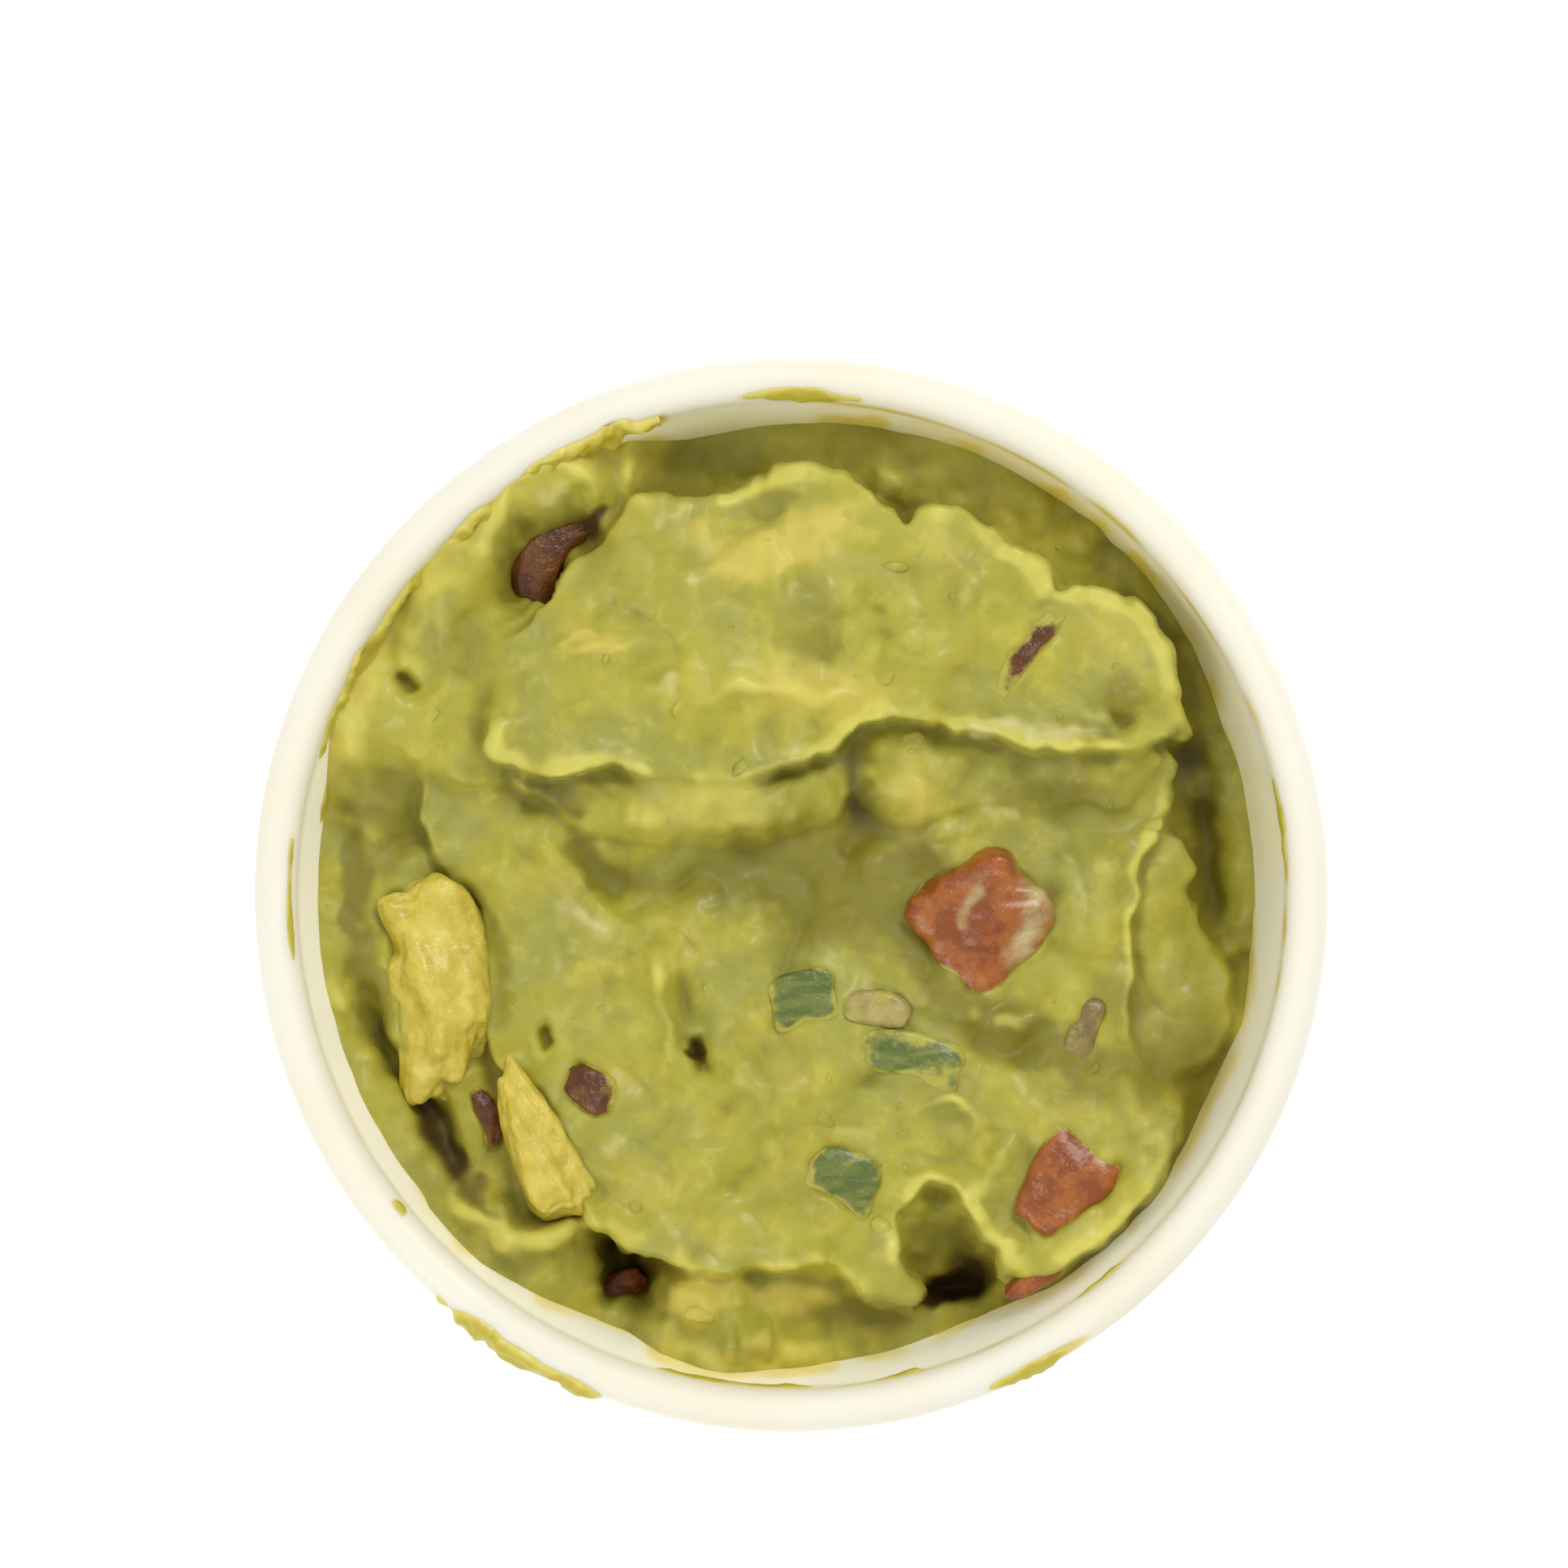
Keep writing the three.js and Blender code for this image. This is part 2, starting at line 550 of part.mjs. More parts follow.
/** The cup's side: tapered wall, rolled rim and the hem turned in and up under the base. */
function cupSide() {
  const roll = Array.from({ length: ROLL_STEPS + 1 }, (_, k) => {
    const angle = THREE.MathUtils.lerp(ROLL_START, Math.PI, k / ROLL_STEPS);
    const radius = ROLL_CENTRE_RADIUS + ROLL_RADIUS * Math.cos(angle);
    return [radius, ROLL_CENTRE_HEIGHT + ROLL_RADIUS * Math.sin(angle)];
  });
  const hemOutset = PAPER + 2 * GAP;
  const start = [wallRadius(0) + PAPER, 0];
  return turned([
    start,
    ...roll,
    [wallRadius(PAPER), PAPER],
    [wallRadius(PAPER) - hemOutset, PAPER],
    [wallRadius(HEM_HEIGHT) - hemOutset, HEM_HEIGHT],
    [wallRadius(HEM_HEIGHT) - hemOutset - PAPER, HEM_HEIGHT],
    [wallRadius(0) - hemOutset - PAPER, 0],
    start,
  ]);
}

/** The cup's base: a raised disc with a skirt that stands between the wall and its hem. */
function cupBase() {
  const underside = BASE_LEVEL - PAPER;
  const skirtFoot = PAPER + GAP;
  return turned([
    [0, underside],
    [wallRadius(underside) - GAP - PAPER, underside],
    [wallRadius(skirtFoot) - GAP - PAPER, skirtFoot],
    [wallRadius(skirtFoot) - GAP, skirtFoot],
    [wallRadius(BASE_LEVEL) - GAP, BASE_LEVEL],
    [0, BASE_LEVEL],
  ]);
}

/**
 * One piece of food: a block with rounded corners, narrowed along its length and bent, in its place.
 * margin makes it larger all round, for the pocket that it lies in.
 */
function pieceShape(piece, margin) {
  const half = piece.size.map((side) => side / 2 + margin);
  const geometry = new THREE.BoxGeometry(2, 2, 2, ...piece.steps);
  const position = geometry.attributes.position;
  const point = new THREE.Vector3();
  const turn = new THREE.Euler(
    THREE.MathUtils.degToRad(piece.roll),
    THREE.MathUtils.degToRad(piece.pitch),
    THREE.MathUtils.degToRad(piece.turn),
    'ZYX',
  );
  const centre = new THREE.Vector3(
    piece.at[0],
    piece.at[1],
    surfaceHeight(...piece.at) + piece.proud - piece.size[2] / 2,
  );
  for (let i = 0; i < position.count; i += 1) {
    point.fromBufferAttribute(position, i);
    const k = piece.squareness;
    const reach = (Math.abs(point.x) ** k + Math.abs(point.y) ** k + Math.abs(point.z) ** k) ** (-1 / k);
    point.multiplyScalar(reach);
    point.y *= 1 + piece.taper * point.x;
    point.y -= (piece.bend * point.x * point.x * piece.size[0]) / piece.size[1];
    point.set(point.x * half[0], point.y * half[1], point.z * half[2]).applyEuler(turn).add(centre);
    position.setXYZ(i, point.x, point.y, point.z);
  }
  return welded(geometry);
}

/** The largest part of a solid, without scraps that a cut has left loose. */
function largestPart(solid) {
  return solid.decompose().reduce((best, part) => (part.volume() > best.volume() ? part : best));
}

/** The guacamole with a pocket for each piece. */
function guacamole() {
  const pockets = PIECES.map((piece) => solidFrom(pieceShape(piece, GAP)));
  const cut = pockets.reduce((body, pocket) => body.subtract(pocket), solidFrom(guacamoleBody()));
  return surfaceOf(largestPart(cut));
}

/** A named sub-part. */
function subPart(name, geometry, color, roughness) {
  const mesh = new THREE.Mesh(geometry, new THREE.MeshStandardMaterial({ color, roughness, metalness: 0 }));
  mesh.name = name;
  return mesh;
}

const portion = new THREE.Group();
portion.add(subPart('cup_side', cupSide(), PAPER_WHITE, 0.6));
portion.add(subPart('cup_base', cupBase(), PAPER_WHITE, 0.6));
portion.add(subPart('guacamole', guacamole(), GUACAMOLE_GREEN, 0.35));
PIECES.forEach((piece) => {
  portion.add(subPart(piece.name, pieceShape(piece, 0), piece.colour, 0.3));
});

export default portion;
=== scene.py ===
"""A portion of guacamole in a small white paper cup, seen from straight above."""
import logging
import math
from dataclasses import dataclass
from enum import Enum
from typing import Callable, Sequence

import bmesh
import bpy
import numpy as np
from mathutils import Euler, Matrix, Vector


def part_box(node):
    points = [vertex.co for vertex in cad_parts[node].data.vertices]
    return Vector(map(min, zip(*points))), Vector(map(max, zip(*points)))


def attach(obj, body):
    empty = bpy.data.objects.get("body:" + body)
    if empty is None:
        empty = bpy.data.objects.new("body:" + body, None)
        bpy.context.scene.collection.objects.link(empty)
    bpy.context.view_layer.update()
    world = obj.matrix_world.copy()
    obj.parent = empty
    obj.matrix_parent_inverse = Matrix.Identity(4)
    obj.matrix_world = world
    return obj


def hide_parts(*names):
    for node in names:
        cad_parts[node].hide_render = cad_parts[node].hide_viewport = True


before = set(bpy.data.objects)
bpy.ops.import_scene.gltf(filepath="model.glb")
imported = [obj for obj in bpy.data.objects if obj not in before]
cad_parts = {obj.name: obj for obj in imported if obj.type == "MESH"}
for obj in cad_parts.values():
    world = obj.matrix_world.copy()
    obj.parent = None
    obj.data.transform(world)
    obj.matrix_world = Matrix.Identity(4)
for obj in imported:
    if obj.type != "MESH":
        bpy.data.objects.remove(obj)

log = logging.getLogger("guacamole")

MM = 0.001
BODY = "root"
SEED = 11

Colour = tuple[int, int, int]
Point2 = tuple[float, float]
Array = np.ndarray


def paint(colour: Colour) -> tuple[float, float, float, float]:
    """Turn a screen colour into the linear colour that shaders use.

    Args:
        colour: Red, green and blue, 0 to 255.

    Returns:
        The linear colour with full alpha.
    """
    def linear(level: int) -> float:
        """One channel of it."""
        part = level / 255
        return part / 12.92 if part <= 0.04045 else ((part + 0.055) / 1.055) ** 2.4

    return (*map(linear, colour), 1.0)


def smooth_step(low: float, high: float, value: Array) -> Array:
    """Blend from 0 at low to 1 at high with flat ends."""
    t = np.clip((value - low) / (high - low), 0, 1)
    return t * t * (3 - 2 * t)


def add_object(name: str, data: bpy.types.ID) -> bpy.types.Object:
    """Put a mesh, a light or a camera in the scene.

    Args:
        name: Its name.
        data: What it is.

    Returns:
        Its object.
    """
    made = bpy.data.objects.new(name, data)
    bpy.context.scene.collection.objects.link(made)
    return made


# Node graphs


def feed(socket: bpy.types.NodeSocket,
         value: "Wire | bpy.types.NodeSocket | Sequence[float] | float") -> None:
    """Link a wire or a socket to an input, or set a plain value on it.

    Args:
        socket: The input.
        value: The wire, the socket or the value.
    """
    source = value.socket if isinstance(value, Wire) else value
    if isinstance(source, bpy.types.NodeSocket):
        socket.id_data.links.new(source, socket)
    else:
        socket.default_value = source


def add_node(tree: bpy.types.NodeTree, kind: str, settings: dict | None = None,
             inputs: dict | None = None) -> bpy.types.Node:
    """Add a node to a shader or to a geometry tree.

    Args:
        tree: The tree.
        kind: The node's type.
        settings: Its properties, set before its sockets.
        inputs: What feeds its sockets, by name or number.

    Returns:
        The node.
    """
    made = tree.nodes.new(kind)
    for key, value in (settings or {}).items():
        setattr(made, key, value)
    for key, value in (inputs or {}).items():
        feed(made.inputs[key], value)
    return made


def operator(operation: str, swapped: bool = False) -> Callable[["Wire", "Wire | float"], "Wire"]:
    """Make a method that puts a wire and another value through a Math node.

    Args:
        operation: The Math node's operation.
        swapped: Whether the other value comes first.

    Returns:
        The method.
    """
    def apply(wire: "Wire", other: "Wire | float") -> "Wire":
        """Add the node."""
        values = (other, wire) if swapped else (wire, other)
        return wire.graph.node("ShaderNodeMath", {"operation": operation}, dict(enumerate(values)))

    return apply


class Wire:
    """A number on its way through a shader, so that maths reads as plain expressions."""

    def __init__(self, graph: "Graph", socket: bpy.types.NodeSocket) -> None:
        """Keep the socket and the graph that it is in."""
        self.graph = graph
        self.socket = socket

    __add__ = operator("ADD")
    __radd__ = operator("ADD", swapped=True)
    __sub__ = operator("SUBTRACT")
    __rsub__ = operator("SUBTRACT", swapped=True)
    __mul__ = operator("MULTIPLY")
    __rmul__ = operator("MULTIPLY", swapped=True)

    def between(self, low: float, high: float) -> "Wire":
        """Rise smoothly from 0 at low to 1 at high."""
        span = {"Value": self, "From Min": low, "From Max": high}
        return self.graph.node("ShaderNodeMapRange", {"interpolation_type": "SMOOTHSTEP"}, span)


class Graph:
    """One material and its shader graph."""

    def __init__(self, name: str) -> None:
        """Start a material of that name."""
        self.material = bpy.data.materials.new(name)
        self.material.use_nodes = True
        self.tree = self.material.node_tree
        self.shader = self.tree.nodes["Principled BSDF"]
        self.place = self.node("ShaderNodeTexCoord", output="Object")

    def node(self, kind: str, settings: dict | None = None, inputs: dict | None = None,
             output: str | int = 0) -> Wire:
        """Add a node as add_node does, and take a wire from one of its outputs."""
        return Wire(self, add_node(self.tree, kind, settings, inputs).outputs[output])

    def attribute(self, name: str) -> Wire:
        """A number stored on the mesh."""
        return self.node("ShaderNodeAttribute", {"attribute_name": name}, output="Fac")

    def grain(self, size: float, detail: float = 3.0, roughness: float = 0.5,
              stretch: Sequence[float] | None = None, offset: float = 0.0) -> Wire:
        """Noise in object space.

        Args:
            size: Size of its spots in metres.
            detail: Octaves.
            roughness: Weight of the finer octaves.
            stretch: Scale along each axis, for streaks.
            offset: Shift, so that two grains differ.

        Returns:
            The noise, about 0.5 on average.
        """
        place = self.place
        if stretch or offset:
            mapping = {"Vector": place, "Scale": stretch or (1, 1, 1), "Location": (offset,) * 3}
            place = self.node("ShaderNodeMapping", inputs=mapping)
        values = {"Vector": place, "Scale": 1 / size, "Detail": detail, "Roughness": roughness}
        return self.node("ShaderNodeTexNoise", inputs=values)

    def cells(self, size: float) -> Wire:
        """Distance to the nearest of scattered points that are about size metres apart."""
        inputs = {"Vector": self.place, "Scale": 1 / size}
        return self.node("ShaderNodeTexVoronoi", {"feature": "SMOOTH_F1"}, inputs)

    def mix(self, base: "Wire | Colour", *layers: "tuple[Wire, Colour]") -> Wire:
        """Lay colours over a base, one after another.

        Args:
            base: The colour below them.
            layers: For each, how much of it shows and its colour.

        Returns:
            The mixed colour.
        """
        for share, colour in layers:
            below = base if isinstance(base, Wire) else paint(base)
            inputs = {0: share, 6: below, 7: paint(colour)}
            base = self.node("ShaderNodeMix", {"data_type": "RGBA"}, inputs, 2)
        return base

    def relief(self, height: Wire, depth: float, strength: float, **under: Wire) -> Wire:
        """A bump from a height of 0 to 1 that stands for depth metres, maybe on a Normal under it."""
        inputs = {"Height": height, "Distance": depth, "Strength": strength, **under}
        return self.node("ShaderNodeBump", inputs=inputs)

    def surface(self, **values: "Wire | float | Sequence[float]") -> bpy.types.Material:
        """Set the shader's sockets, whose names are given with underscores for spaces.

        Args:
            values: A wire or a value for each socket.

        Returns:
            The finished material.
        """
        for key, value in values.items():
            feed(self.shader.inputs[key.replace("_", " ")], value)
        return self.material


# Finishes


@dataclass(frozen=True)
class PaperFinish:
    """White coated paperboard with a faint fibre, yellow stains round the smears, painted shade down the
    inner wall, and painted light with which that wall glows faintly.
    """

    white: Colour = (245, 242, 228)
    warm: Colour = (243, 236, 214)
    stain_and_shade: Colour = (228, 209, 108)
    dark: Colour = (0, 0, 0)
    # Colour of the painted light with which the inner wall glows, in place of light through the paper
    through: Colour = (255, 249, 226)

    def material(self) -> bpy.types.Material:
        """Build the material.

        Returns:
            The material.
        """
        graph = Graph("coated_paper")
        cloud = graph.grain(0.012, 2).between(0.35, 0.7)
        # The stained places also carry painted shade: tan down the inner wall, strongest on the side away
        # from the light
        stain_and_shade = graph.attribute("stain_and_shade") * (0.65 + 0.6 * graph.grain(0.0018, 3))
        return graph.surface(
            Base_Color=graph.mix(
                self.white, (cloud * 0.5, self.warm), (stain_and_shade.between(0.08, 0.95), self.stain_and_shade)),
            Roughness=0.42 + 0.14 * cloud,
            Specular_IOR_Level=0.4,
            Subsurface_Weight=0.5,
            Subsurface_Radius=(1.0, 0.95, 0.8),
            Subsurface_Scale=0.0015,
            Normal=graph.relief(graph.grain(0.0005, 4, 0.65), 0.00002, 0.35),
            # Painted light: the inner wall glows faintly, most at the lower left, which faces the light
            Emission_Color=graph.mix(self.dark, (graph.attribute("painted_glow"), self.through)),
            Emission_Strength=0.2,
        )


@dataclass(frozen=True)
class MashFinish:
    """Wet mashed avocado, yellow-green with soft broken gloss, with painted light in its colour: paler
    painted highlights on crests and in glints, and olive painted shade in hollows, pits, crevices and shaded
    patches.
    """

    body: Colour = (178, 172, 61)
    grey: Colour = (160, 158, 72)
    warm: Colour = (190, 176, 58)
    shade: Colour = (124, 117, 34)
    yellow: Colour = (216, 199, 90)
    # Painted highlight on crests and lips; also lighter curds at random
    crest: Colour = (218, 210, 98)
    # Painted highlight: the pale glints
    pale: Colour = (220, 214, 144)
    # Painted shade in hollows; also darker curds at random
    hollow: Colour = (130, 122, 32)
    # Painted shade in pits, crevices and holes
    deep_shade: Colour = (80, 62, 20)
    fleck: Colour = (112, 120, 46)

    def material(self) -> bpy.types.Material:
        """Build the material.

        Returns:
            The material.
        """
        graph = Graph("mash")
        crest, hollow, deep_shade, yellow, shade, pale = map(graph.attribute, Relief.MARKS)
        cloud = graph.grain(0.0085, 3, 0.55)
        curd = graph.grain(0.0021, 4, 0.6, offset=0.3)
        blotch = graph.grain(0.0042, 3, 0.55, offset=0.9)
        flecks = graph.grain(0.0016, 1, offset=0.7)
        gloss = graph.grain(0.0035, 3, offset=0.1).between(0.45, 0.65)
        # Painted highlights: the glints, broken up by fine noise
        wet = pale * (0.3 + 1.0 * graph.grain(0.0014, 3, offset=0.6))
        tone = graph.mix(
            self.body,
            (cloud.between(0.42, 0.62) * 0.8, self.grey),
            (blotch.between(0.52, 0.68) * 0.6, self.warm),
            (curd.between(0.5, 0.7) * 0.3, self.crest),
            ((1.0 - curd).between(0.52, 0.7) * 0.18, self.hollow),
            ((shade + 0.5 * blotch - 0.25).between(0.1, 0.9) * 0.8, self.shade),
            # Avocado yellow, in places also painted light
            (yellow.between(0.1, 0.9) * (0.35 + 0.9 * curd), self.yellow),
            # Painted highlight on crests and lips
            (crest.between(0.1, 1.0) * (0.4 + 0.8 * blotch), self.crest),
            # Painted shade in hollows
            (hollow.between(0.05, 0.8) * 0.85, self.hollow),
            (wet.between(0.15, 1.0) * 0.85, self.pale),
            # Painted shade in pits and the darkest crevices
            (deep_shade.between(0.3, 1.0), self.deep_shade),
            (flecks.between(0.7, 0.78) * 0.15, self.fleck),
        )
        skin = graph.relief(graph.grain(0.0018, 3), 0.00034, 0.38)
        return graph.surface(
            Base_Color=tone,
            Roughness=0.42 + 0.25 * curd,
            Specular_IOR_Level=0.4,
            Coat_Weight=gloss * (1.0 - hollow.between(0.0, 0.6)) * 0.35,
            Coat_Roughness=0.28,
            Subsurface_Weight=0.2,
            Subsurface_Radius=(1.0, 0.85, 0.3),
            Subsurface_Scale=0.0016,
            Normal=graph.relief(1.0 - graph.cells(0.0011), 0.00014, 0.12, Normal=skin),
        )


@dataclass(frozen=True)
class SmearFinish:
    """A thin film of mash on paper: strong yellow-green, thinner and brighter at its edge."""

    thick: Colour = (196, 182, 60)
    thin: Colour = (228, 215, 112)

    def material(self) -> bpy.types.Material:
        """Build the material.

        Returns:
            The material.
        """
        graph = Graph("smear")
        body = (graph.attribute("thick") * (0.5 + graph.grain(0.0016, 3))).between(0.15, 0.8)
        return graph.surface(
            Base_Color=graph.mix(self.thin, (body, self.thick)),
            Roughness=0.4,
            Specular_IOR_Level=0.4,
            Coat_Weight=0.15,
            Coat_Roughness=0.2,
            Subsurface_Weight=0.2,
            Subsurface_Radius=(1.0, 0.85, 0.3),
            Subsurface_Scale=0.0008,
            Normal=graph.relief(graph.grain(0.0008, 3), 0.00012, 0.7),
        )


@dataclass(frozen=True)
class BitFinish:
    """A piece of food in the mash: two tones in streaks, pale lines, painted highlights along its shine
    strokes, and mash that clings to it.
    """

    name: str
    light: Colour
    dark: Colour
    pale: Colour
    pale_share: float
    film: float
    wet: float
    streak: tuple[float, float, float] = (1.0, 1.0, 1.0)
    streak_size: float = 0.0016
    mash: Colour = (182, 175, 70)
    # Colour of the painted highlights
    shine: Colour = (210, 203, 146)

    def material(self) -> bpy.types.Material:
        """Build the material.

        Returns:
            The material.
        """
        graph = Graph(self.name)
        tone = graph.grain(self.streak_size, 4, 0.55, self.streak)
        line = graph.grain(self.streak_size * 1.6, 3, 0.5, self.streak, 0.5)
        broken = 0.3 + 1.1 * graph.grain(0.0014, 4, 0.6, offset=0.8)
        # Painted highlight along the piece's shine strokes
        shine = (graph.attribute("pale") * broken).between(0.2, 1.0)
        buried = graph.attribute("edge") * 0.45 + (self.film - 0.5)
        cling = (graph.grain(0.0017, 4, 0.6, offset=0.2) + buried).between(0.5, 0.8)
        colour = graph.mix(
            self.dark,
            (tone.between(0.38, 0.62), self.light),
            (line.between(0.66 - 0.2 * self.pale_share, 0.74) * self.pale_share, self.pale),
            (shine * 0.9, self.shine),
            (cling, self.mash),
        )
        return graph.surface(
            Base_Color=colour,
            Roughness=0.3 + 0.25 * cling,
            Specular_IOR_Level=0.45,
            Coat_Weight=self.wet,
            Coat_Roughness=0.14,
            Subsurface_Weight=0.25,
            Subsurface_Radius=(1.0, 0.5, 0.25),
            Subsurface_Scale=0.0016,
            Normal=graph.relief(graph.grain(0.0012, 4, 0.6, offset=0.4), 0.0004, 0.8),
        )


class Bit(Enum):
    """The kinds of piece in the mash."""

    TOMATO = BitFinish("tomato_flesh", (172, 98, 36), (142, 72, 20), (196, 156, 84), 0.35, 0.3, 0.3)
    RED_ONION = BitFinish("red_onion_flesh", (118, 70, 26), (88, 46, 14), (150, 118, 56), 0.4, 0.4, 0.1)
    # Painted light: the red onion in a lighter tone for the piece at the bottom of the dark pit, so that the
    # pit's shade does not hide its colour
    DEEP_ONION = BitFinish("deep_onion_flesh", (172, 98, 56), (134, 66, 34), (180, 130, 76), 0.4, 0.3, 0.1)
    PALE_ONION = BitFinish("pale_onion_flesh", (180, 164, 98), (160, 144, 80), (200, 188, 122), 0.5, 0.55,
                           0.2)
    MAUVE_ONION = BitFinish("mauve_onion_flesh", (146, 126, 72), (126, 106, 58), (164, 148, 86), 0.5, 0.5,
                            0.2)
    PEPPER = BitFinish("green_pepper_flesh", (118, 128, 56), (92, 110, 44), (148, 152, 78), 0.5, 0.43, 0.2,
                       (1.0, 3.0, 1.0), 0.002)
    AVOCADO = BitFinish("avocado_flesh", (222, 202, 88), (204, 186, 68), (236, 226, 126), 0.6, 0.42, 0.15)


# Smooth shapes and noise


def lattice_value(i: Array, j: Array) -> Array:
    """A repeatable number from -1 to 1 for points of an integer lattice."""
    turned = np.sin(i * 127.1 + j * 311.7) * 43758.5453
    return (turned - np.floor(turned)) * 2 - 1


def blend_corners(value: Callable[[Array, Array], Array], i: Array, j: Array, s: Array, t: Array) -> Array:
    """Blend the values at the four corners of a cell.

    Args:
        value: Gives the value at a corner.
        i, j: The cell.
        s, t: The place in it, from 0 to 1 each way.

    Returns:
        The value there.
    """
    near = value(i, j) * (1 - s) + value(i + 1, j) * s
    far = value(i, j + 1) * (1 - s) + value(i + 1, j + 1) * s
    return near * (1 - t) + far * t


def bumps(x: Array, y: Array, size: float, shift: float = 0.0) -> Array:
    """Smooth bumps of one size.

    Args:
        x, y: Places in millimetres.
        size: Size of a bump in millimetres.
        shift: A whole number of bumps by which the pattern is moved, so that two patterns differ.

    Returns:
        Heights from -1 to 1.
    """
    u = x / size + shift
    v = y / size - shift
    i = np.floor(u)
    j = np.floor(v)
    return blend_corners(lattice_value, i, j, smooth_step(0, 1, u - i), smooth_step(0, 1, v - j))


def mottle(x: Array, y: Array, *layers: tuple[float, float, float]) -> Array:
    """Bumps of several sizes together, where each layer is a rise, a size and a shift."""
    return sum(rise * bumps(x, y, size, shift) for rise, size, shift in layers)


def turned(x: Array, y: Array, middle: Point2, angle: float) -> tuple[Array, Array]:
    """Places measured from a middle, along axes turned by an angle in degrees.

    Args:
        x, y: Places in millimetres.
        middle: Where they are measured from.
        angle: How far the axes are turned.

    Returns:
        The places along and across the turned axis.
    """
    turn = math.radians(angle)
    dx = x - middle[0]
    dy = y - middle[1]
    return dx * math.cos(turn) + dy * math.sin(turn), dy * math.cos(turn) - dx * math.sin(turn)


def curve_through(points: Sequence[Point2], closed: bool, steps: int = 5) -> Array:
    """Points along a smooth curve through the given ones.

    Args:
        points: The places that it passes.
        closed: Whether it comes back to its start.
        steps: Steps between two of them.

    Returns:
        An array of x and y.
    """
    knots = np.array(points, float)
    if closed:
        knots = np.vstack([knots[-1], knots, knots[:2]])
    else:
        knots = np.vstack([2 * knots[0] - knots[1], knots, 2 * knots[-1] - knots[-2]])
    line = []
    for a, b, c, d in zip(knots, knots[1:], knots[2:], knots[3:]):
        for t in np.arange(steps) / steps:
            bend = (2 * a - 5 * b + 4 * c - d) * t * t + (3 * b - 3 * c + d - a) * t ** 3
            line.append(0.5 * (2 * b + (c - a) * t + bend))
    if not closed:
        line.append(knots[-2])
    return np.array(line)


def nearest_on_line(line: Array, closed: bool, x: Array, y: Array) -> tuple[Array, Array]:
    """Distance from places to a line.

    Args:
        line: The line's points.
        closed: Whether it comes back to its start.
        x, y: The places.

    Returns:
        The distance, and how far along the line the nearest place is, from 0 to 1.
    """
    ends = np.roll(line, -1, 0) if closed else line[1:]
    starts = line if closed else line[:-1]
    distance = np.full(x.shape, np.inf)
    along = np.zeros(x.shape)
    for number, (a, b) in enumerate(zip(starts, ends)):
        step = b - a
        t = np.clip(((x - a[0]) * step[0] + (y - a[1]) * step[1]) / (step @ step), 0, 1)
        reach = np.hypot(x - a[0] - t * step[0], y - a[1] - t * step[1])
        closer = reach < distance
        distance = np.where(closer, reach, distance)
        along = np.where(closer, (number + t) / len(starts), along)
    return distance, along


def is_inside(line: Array, x: Array, y: Array) -> Array:
    """Whether places lie inside a closed line.

    Args:
        line: The line's points.
        x, y: Places in millimetres.

    Returns:
        True for each that does.
    """
    inside = np.zeros(x.shape, bool)
    for a, b in zip(line, np.roll(line, -1, 0)):
        if a[1] == b[1]:
            continue
        crosses = (a[1] > y) != (b[1] > y)
        inside ^= crosses & (x < (b[0] - a[0]) * (y - a[1]) / (b[1] - a[1]) + a[0])
    return inside


# The relief of the mash. Its features have names so that they can be found in the photo.


@dataclass(frozen=True)
class Fold:
    """A plateau inside a closed outline, with a raised lip and a cliff round it. Sizes in millimetres."""

    name: str
    top: float
    slope: Point2
    middle: Point2
    lip: float
    lip_width: float
    dome: float
    cliff: float
    drop: float
    outline: tuple[Point2, ...]
    dome_reach: float = 6.0
    cliff_bend: float = 1.25

    def height(self, x: Array, y: Array, turned_up: Array) -> Array:
        """Its height at places.

        Args:
            x, y: Places in millimetres.
            turned_up: How far the edge is turned up there, from 0 to 1.

        Returns:
            Heights in millimetres.
        """
        line = curve_through(self.outline, True)
        distance, _ = nearest_on_line(line, True, x, y)
        plateau = self.top + self.slope[0] * (x - self.middle[0]) + self.slope[1] * (y - self.middle[1])
        rise = self.lip * np.clip(0.8 + mottle(x, y, (0.75, 2.6, 3), (0.4, 1.2, 8)), 0.1, 2)
        rise = rise * (0.3 + 0.8 * turned_up)
        lip = rise * np.exp(-distance / (self.lip_width * (1.3 + 0.7 * bumps(x, y, 3.3, 17))))
        inner = plateau + lip + self.dome * (1 - np.exp(-((distance / self.dome_reach) ** 2)))
        fall = self.drop * (1 - np.exp(-((distance / self.cliff) ** self.cliff_bend)))
        return np.where(is_inside(line, x, y), inner, plateau + rise - fall)


@dataclass(frozen=True)
class Lump:
    """A rounded lump."""

    name: str
    rise: float
    centre: Point2
    half: Point2
    turn: float = 0.0

    def share(self, x: Array, y: Array) -> Array:
        """1 at its middle, 0 well outside it."""
        u, v = turned(x, y, self.centre, self.turn)
        return np.exp(-(((u / self.half[0]) ** 2 + (v / self.half[1]) ** 2) ** 1.5))


@dataclass(frozen=True)
class Stroke:
    """A ridge (rise above 0) or a groove (below 0) along a path."""

    name: str
    rise: float
    width: float
    path: tuple[Point2, ...]

    def share(self, x: Array, y: Array) -> Array:
        """1 on its path, fading out beside it and towards its ends.

        Args:
            x, y: Places in millimetres.

        Returns:
            A share for each place.
        """
        distance, along = nearest_on_line(curve_through(self.path, False), False, x, y)
        fade = smooth_step(-0.15, 0.25, along) * smooth_step(-0.15, 0.25, 1 - along)
        return fade * np.exp(-((distance / self.width) ** 2))


def total(features: Sequence[Lump | Stroke], x: Array, y: Array) -> Array:
    """How far lumps and strokes raise or mark places, all added up."""
    return sum((feature.rise * feature.share(x, y) for feature in features), np.zeros(x.shape))


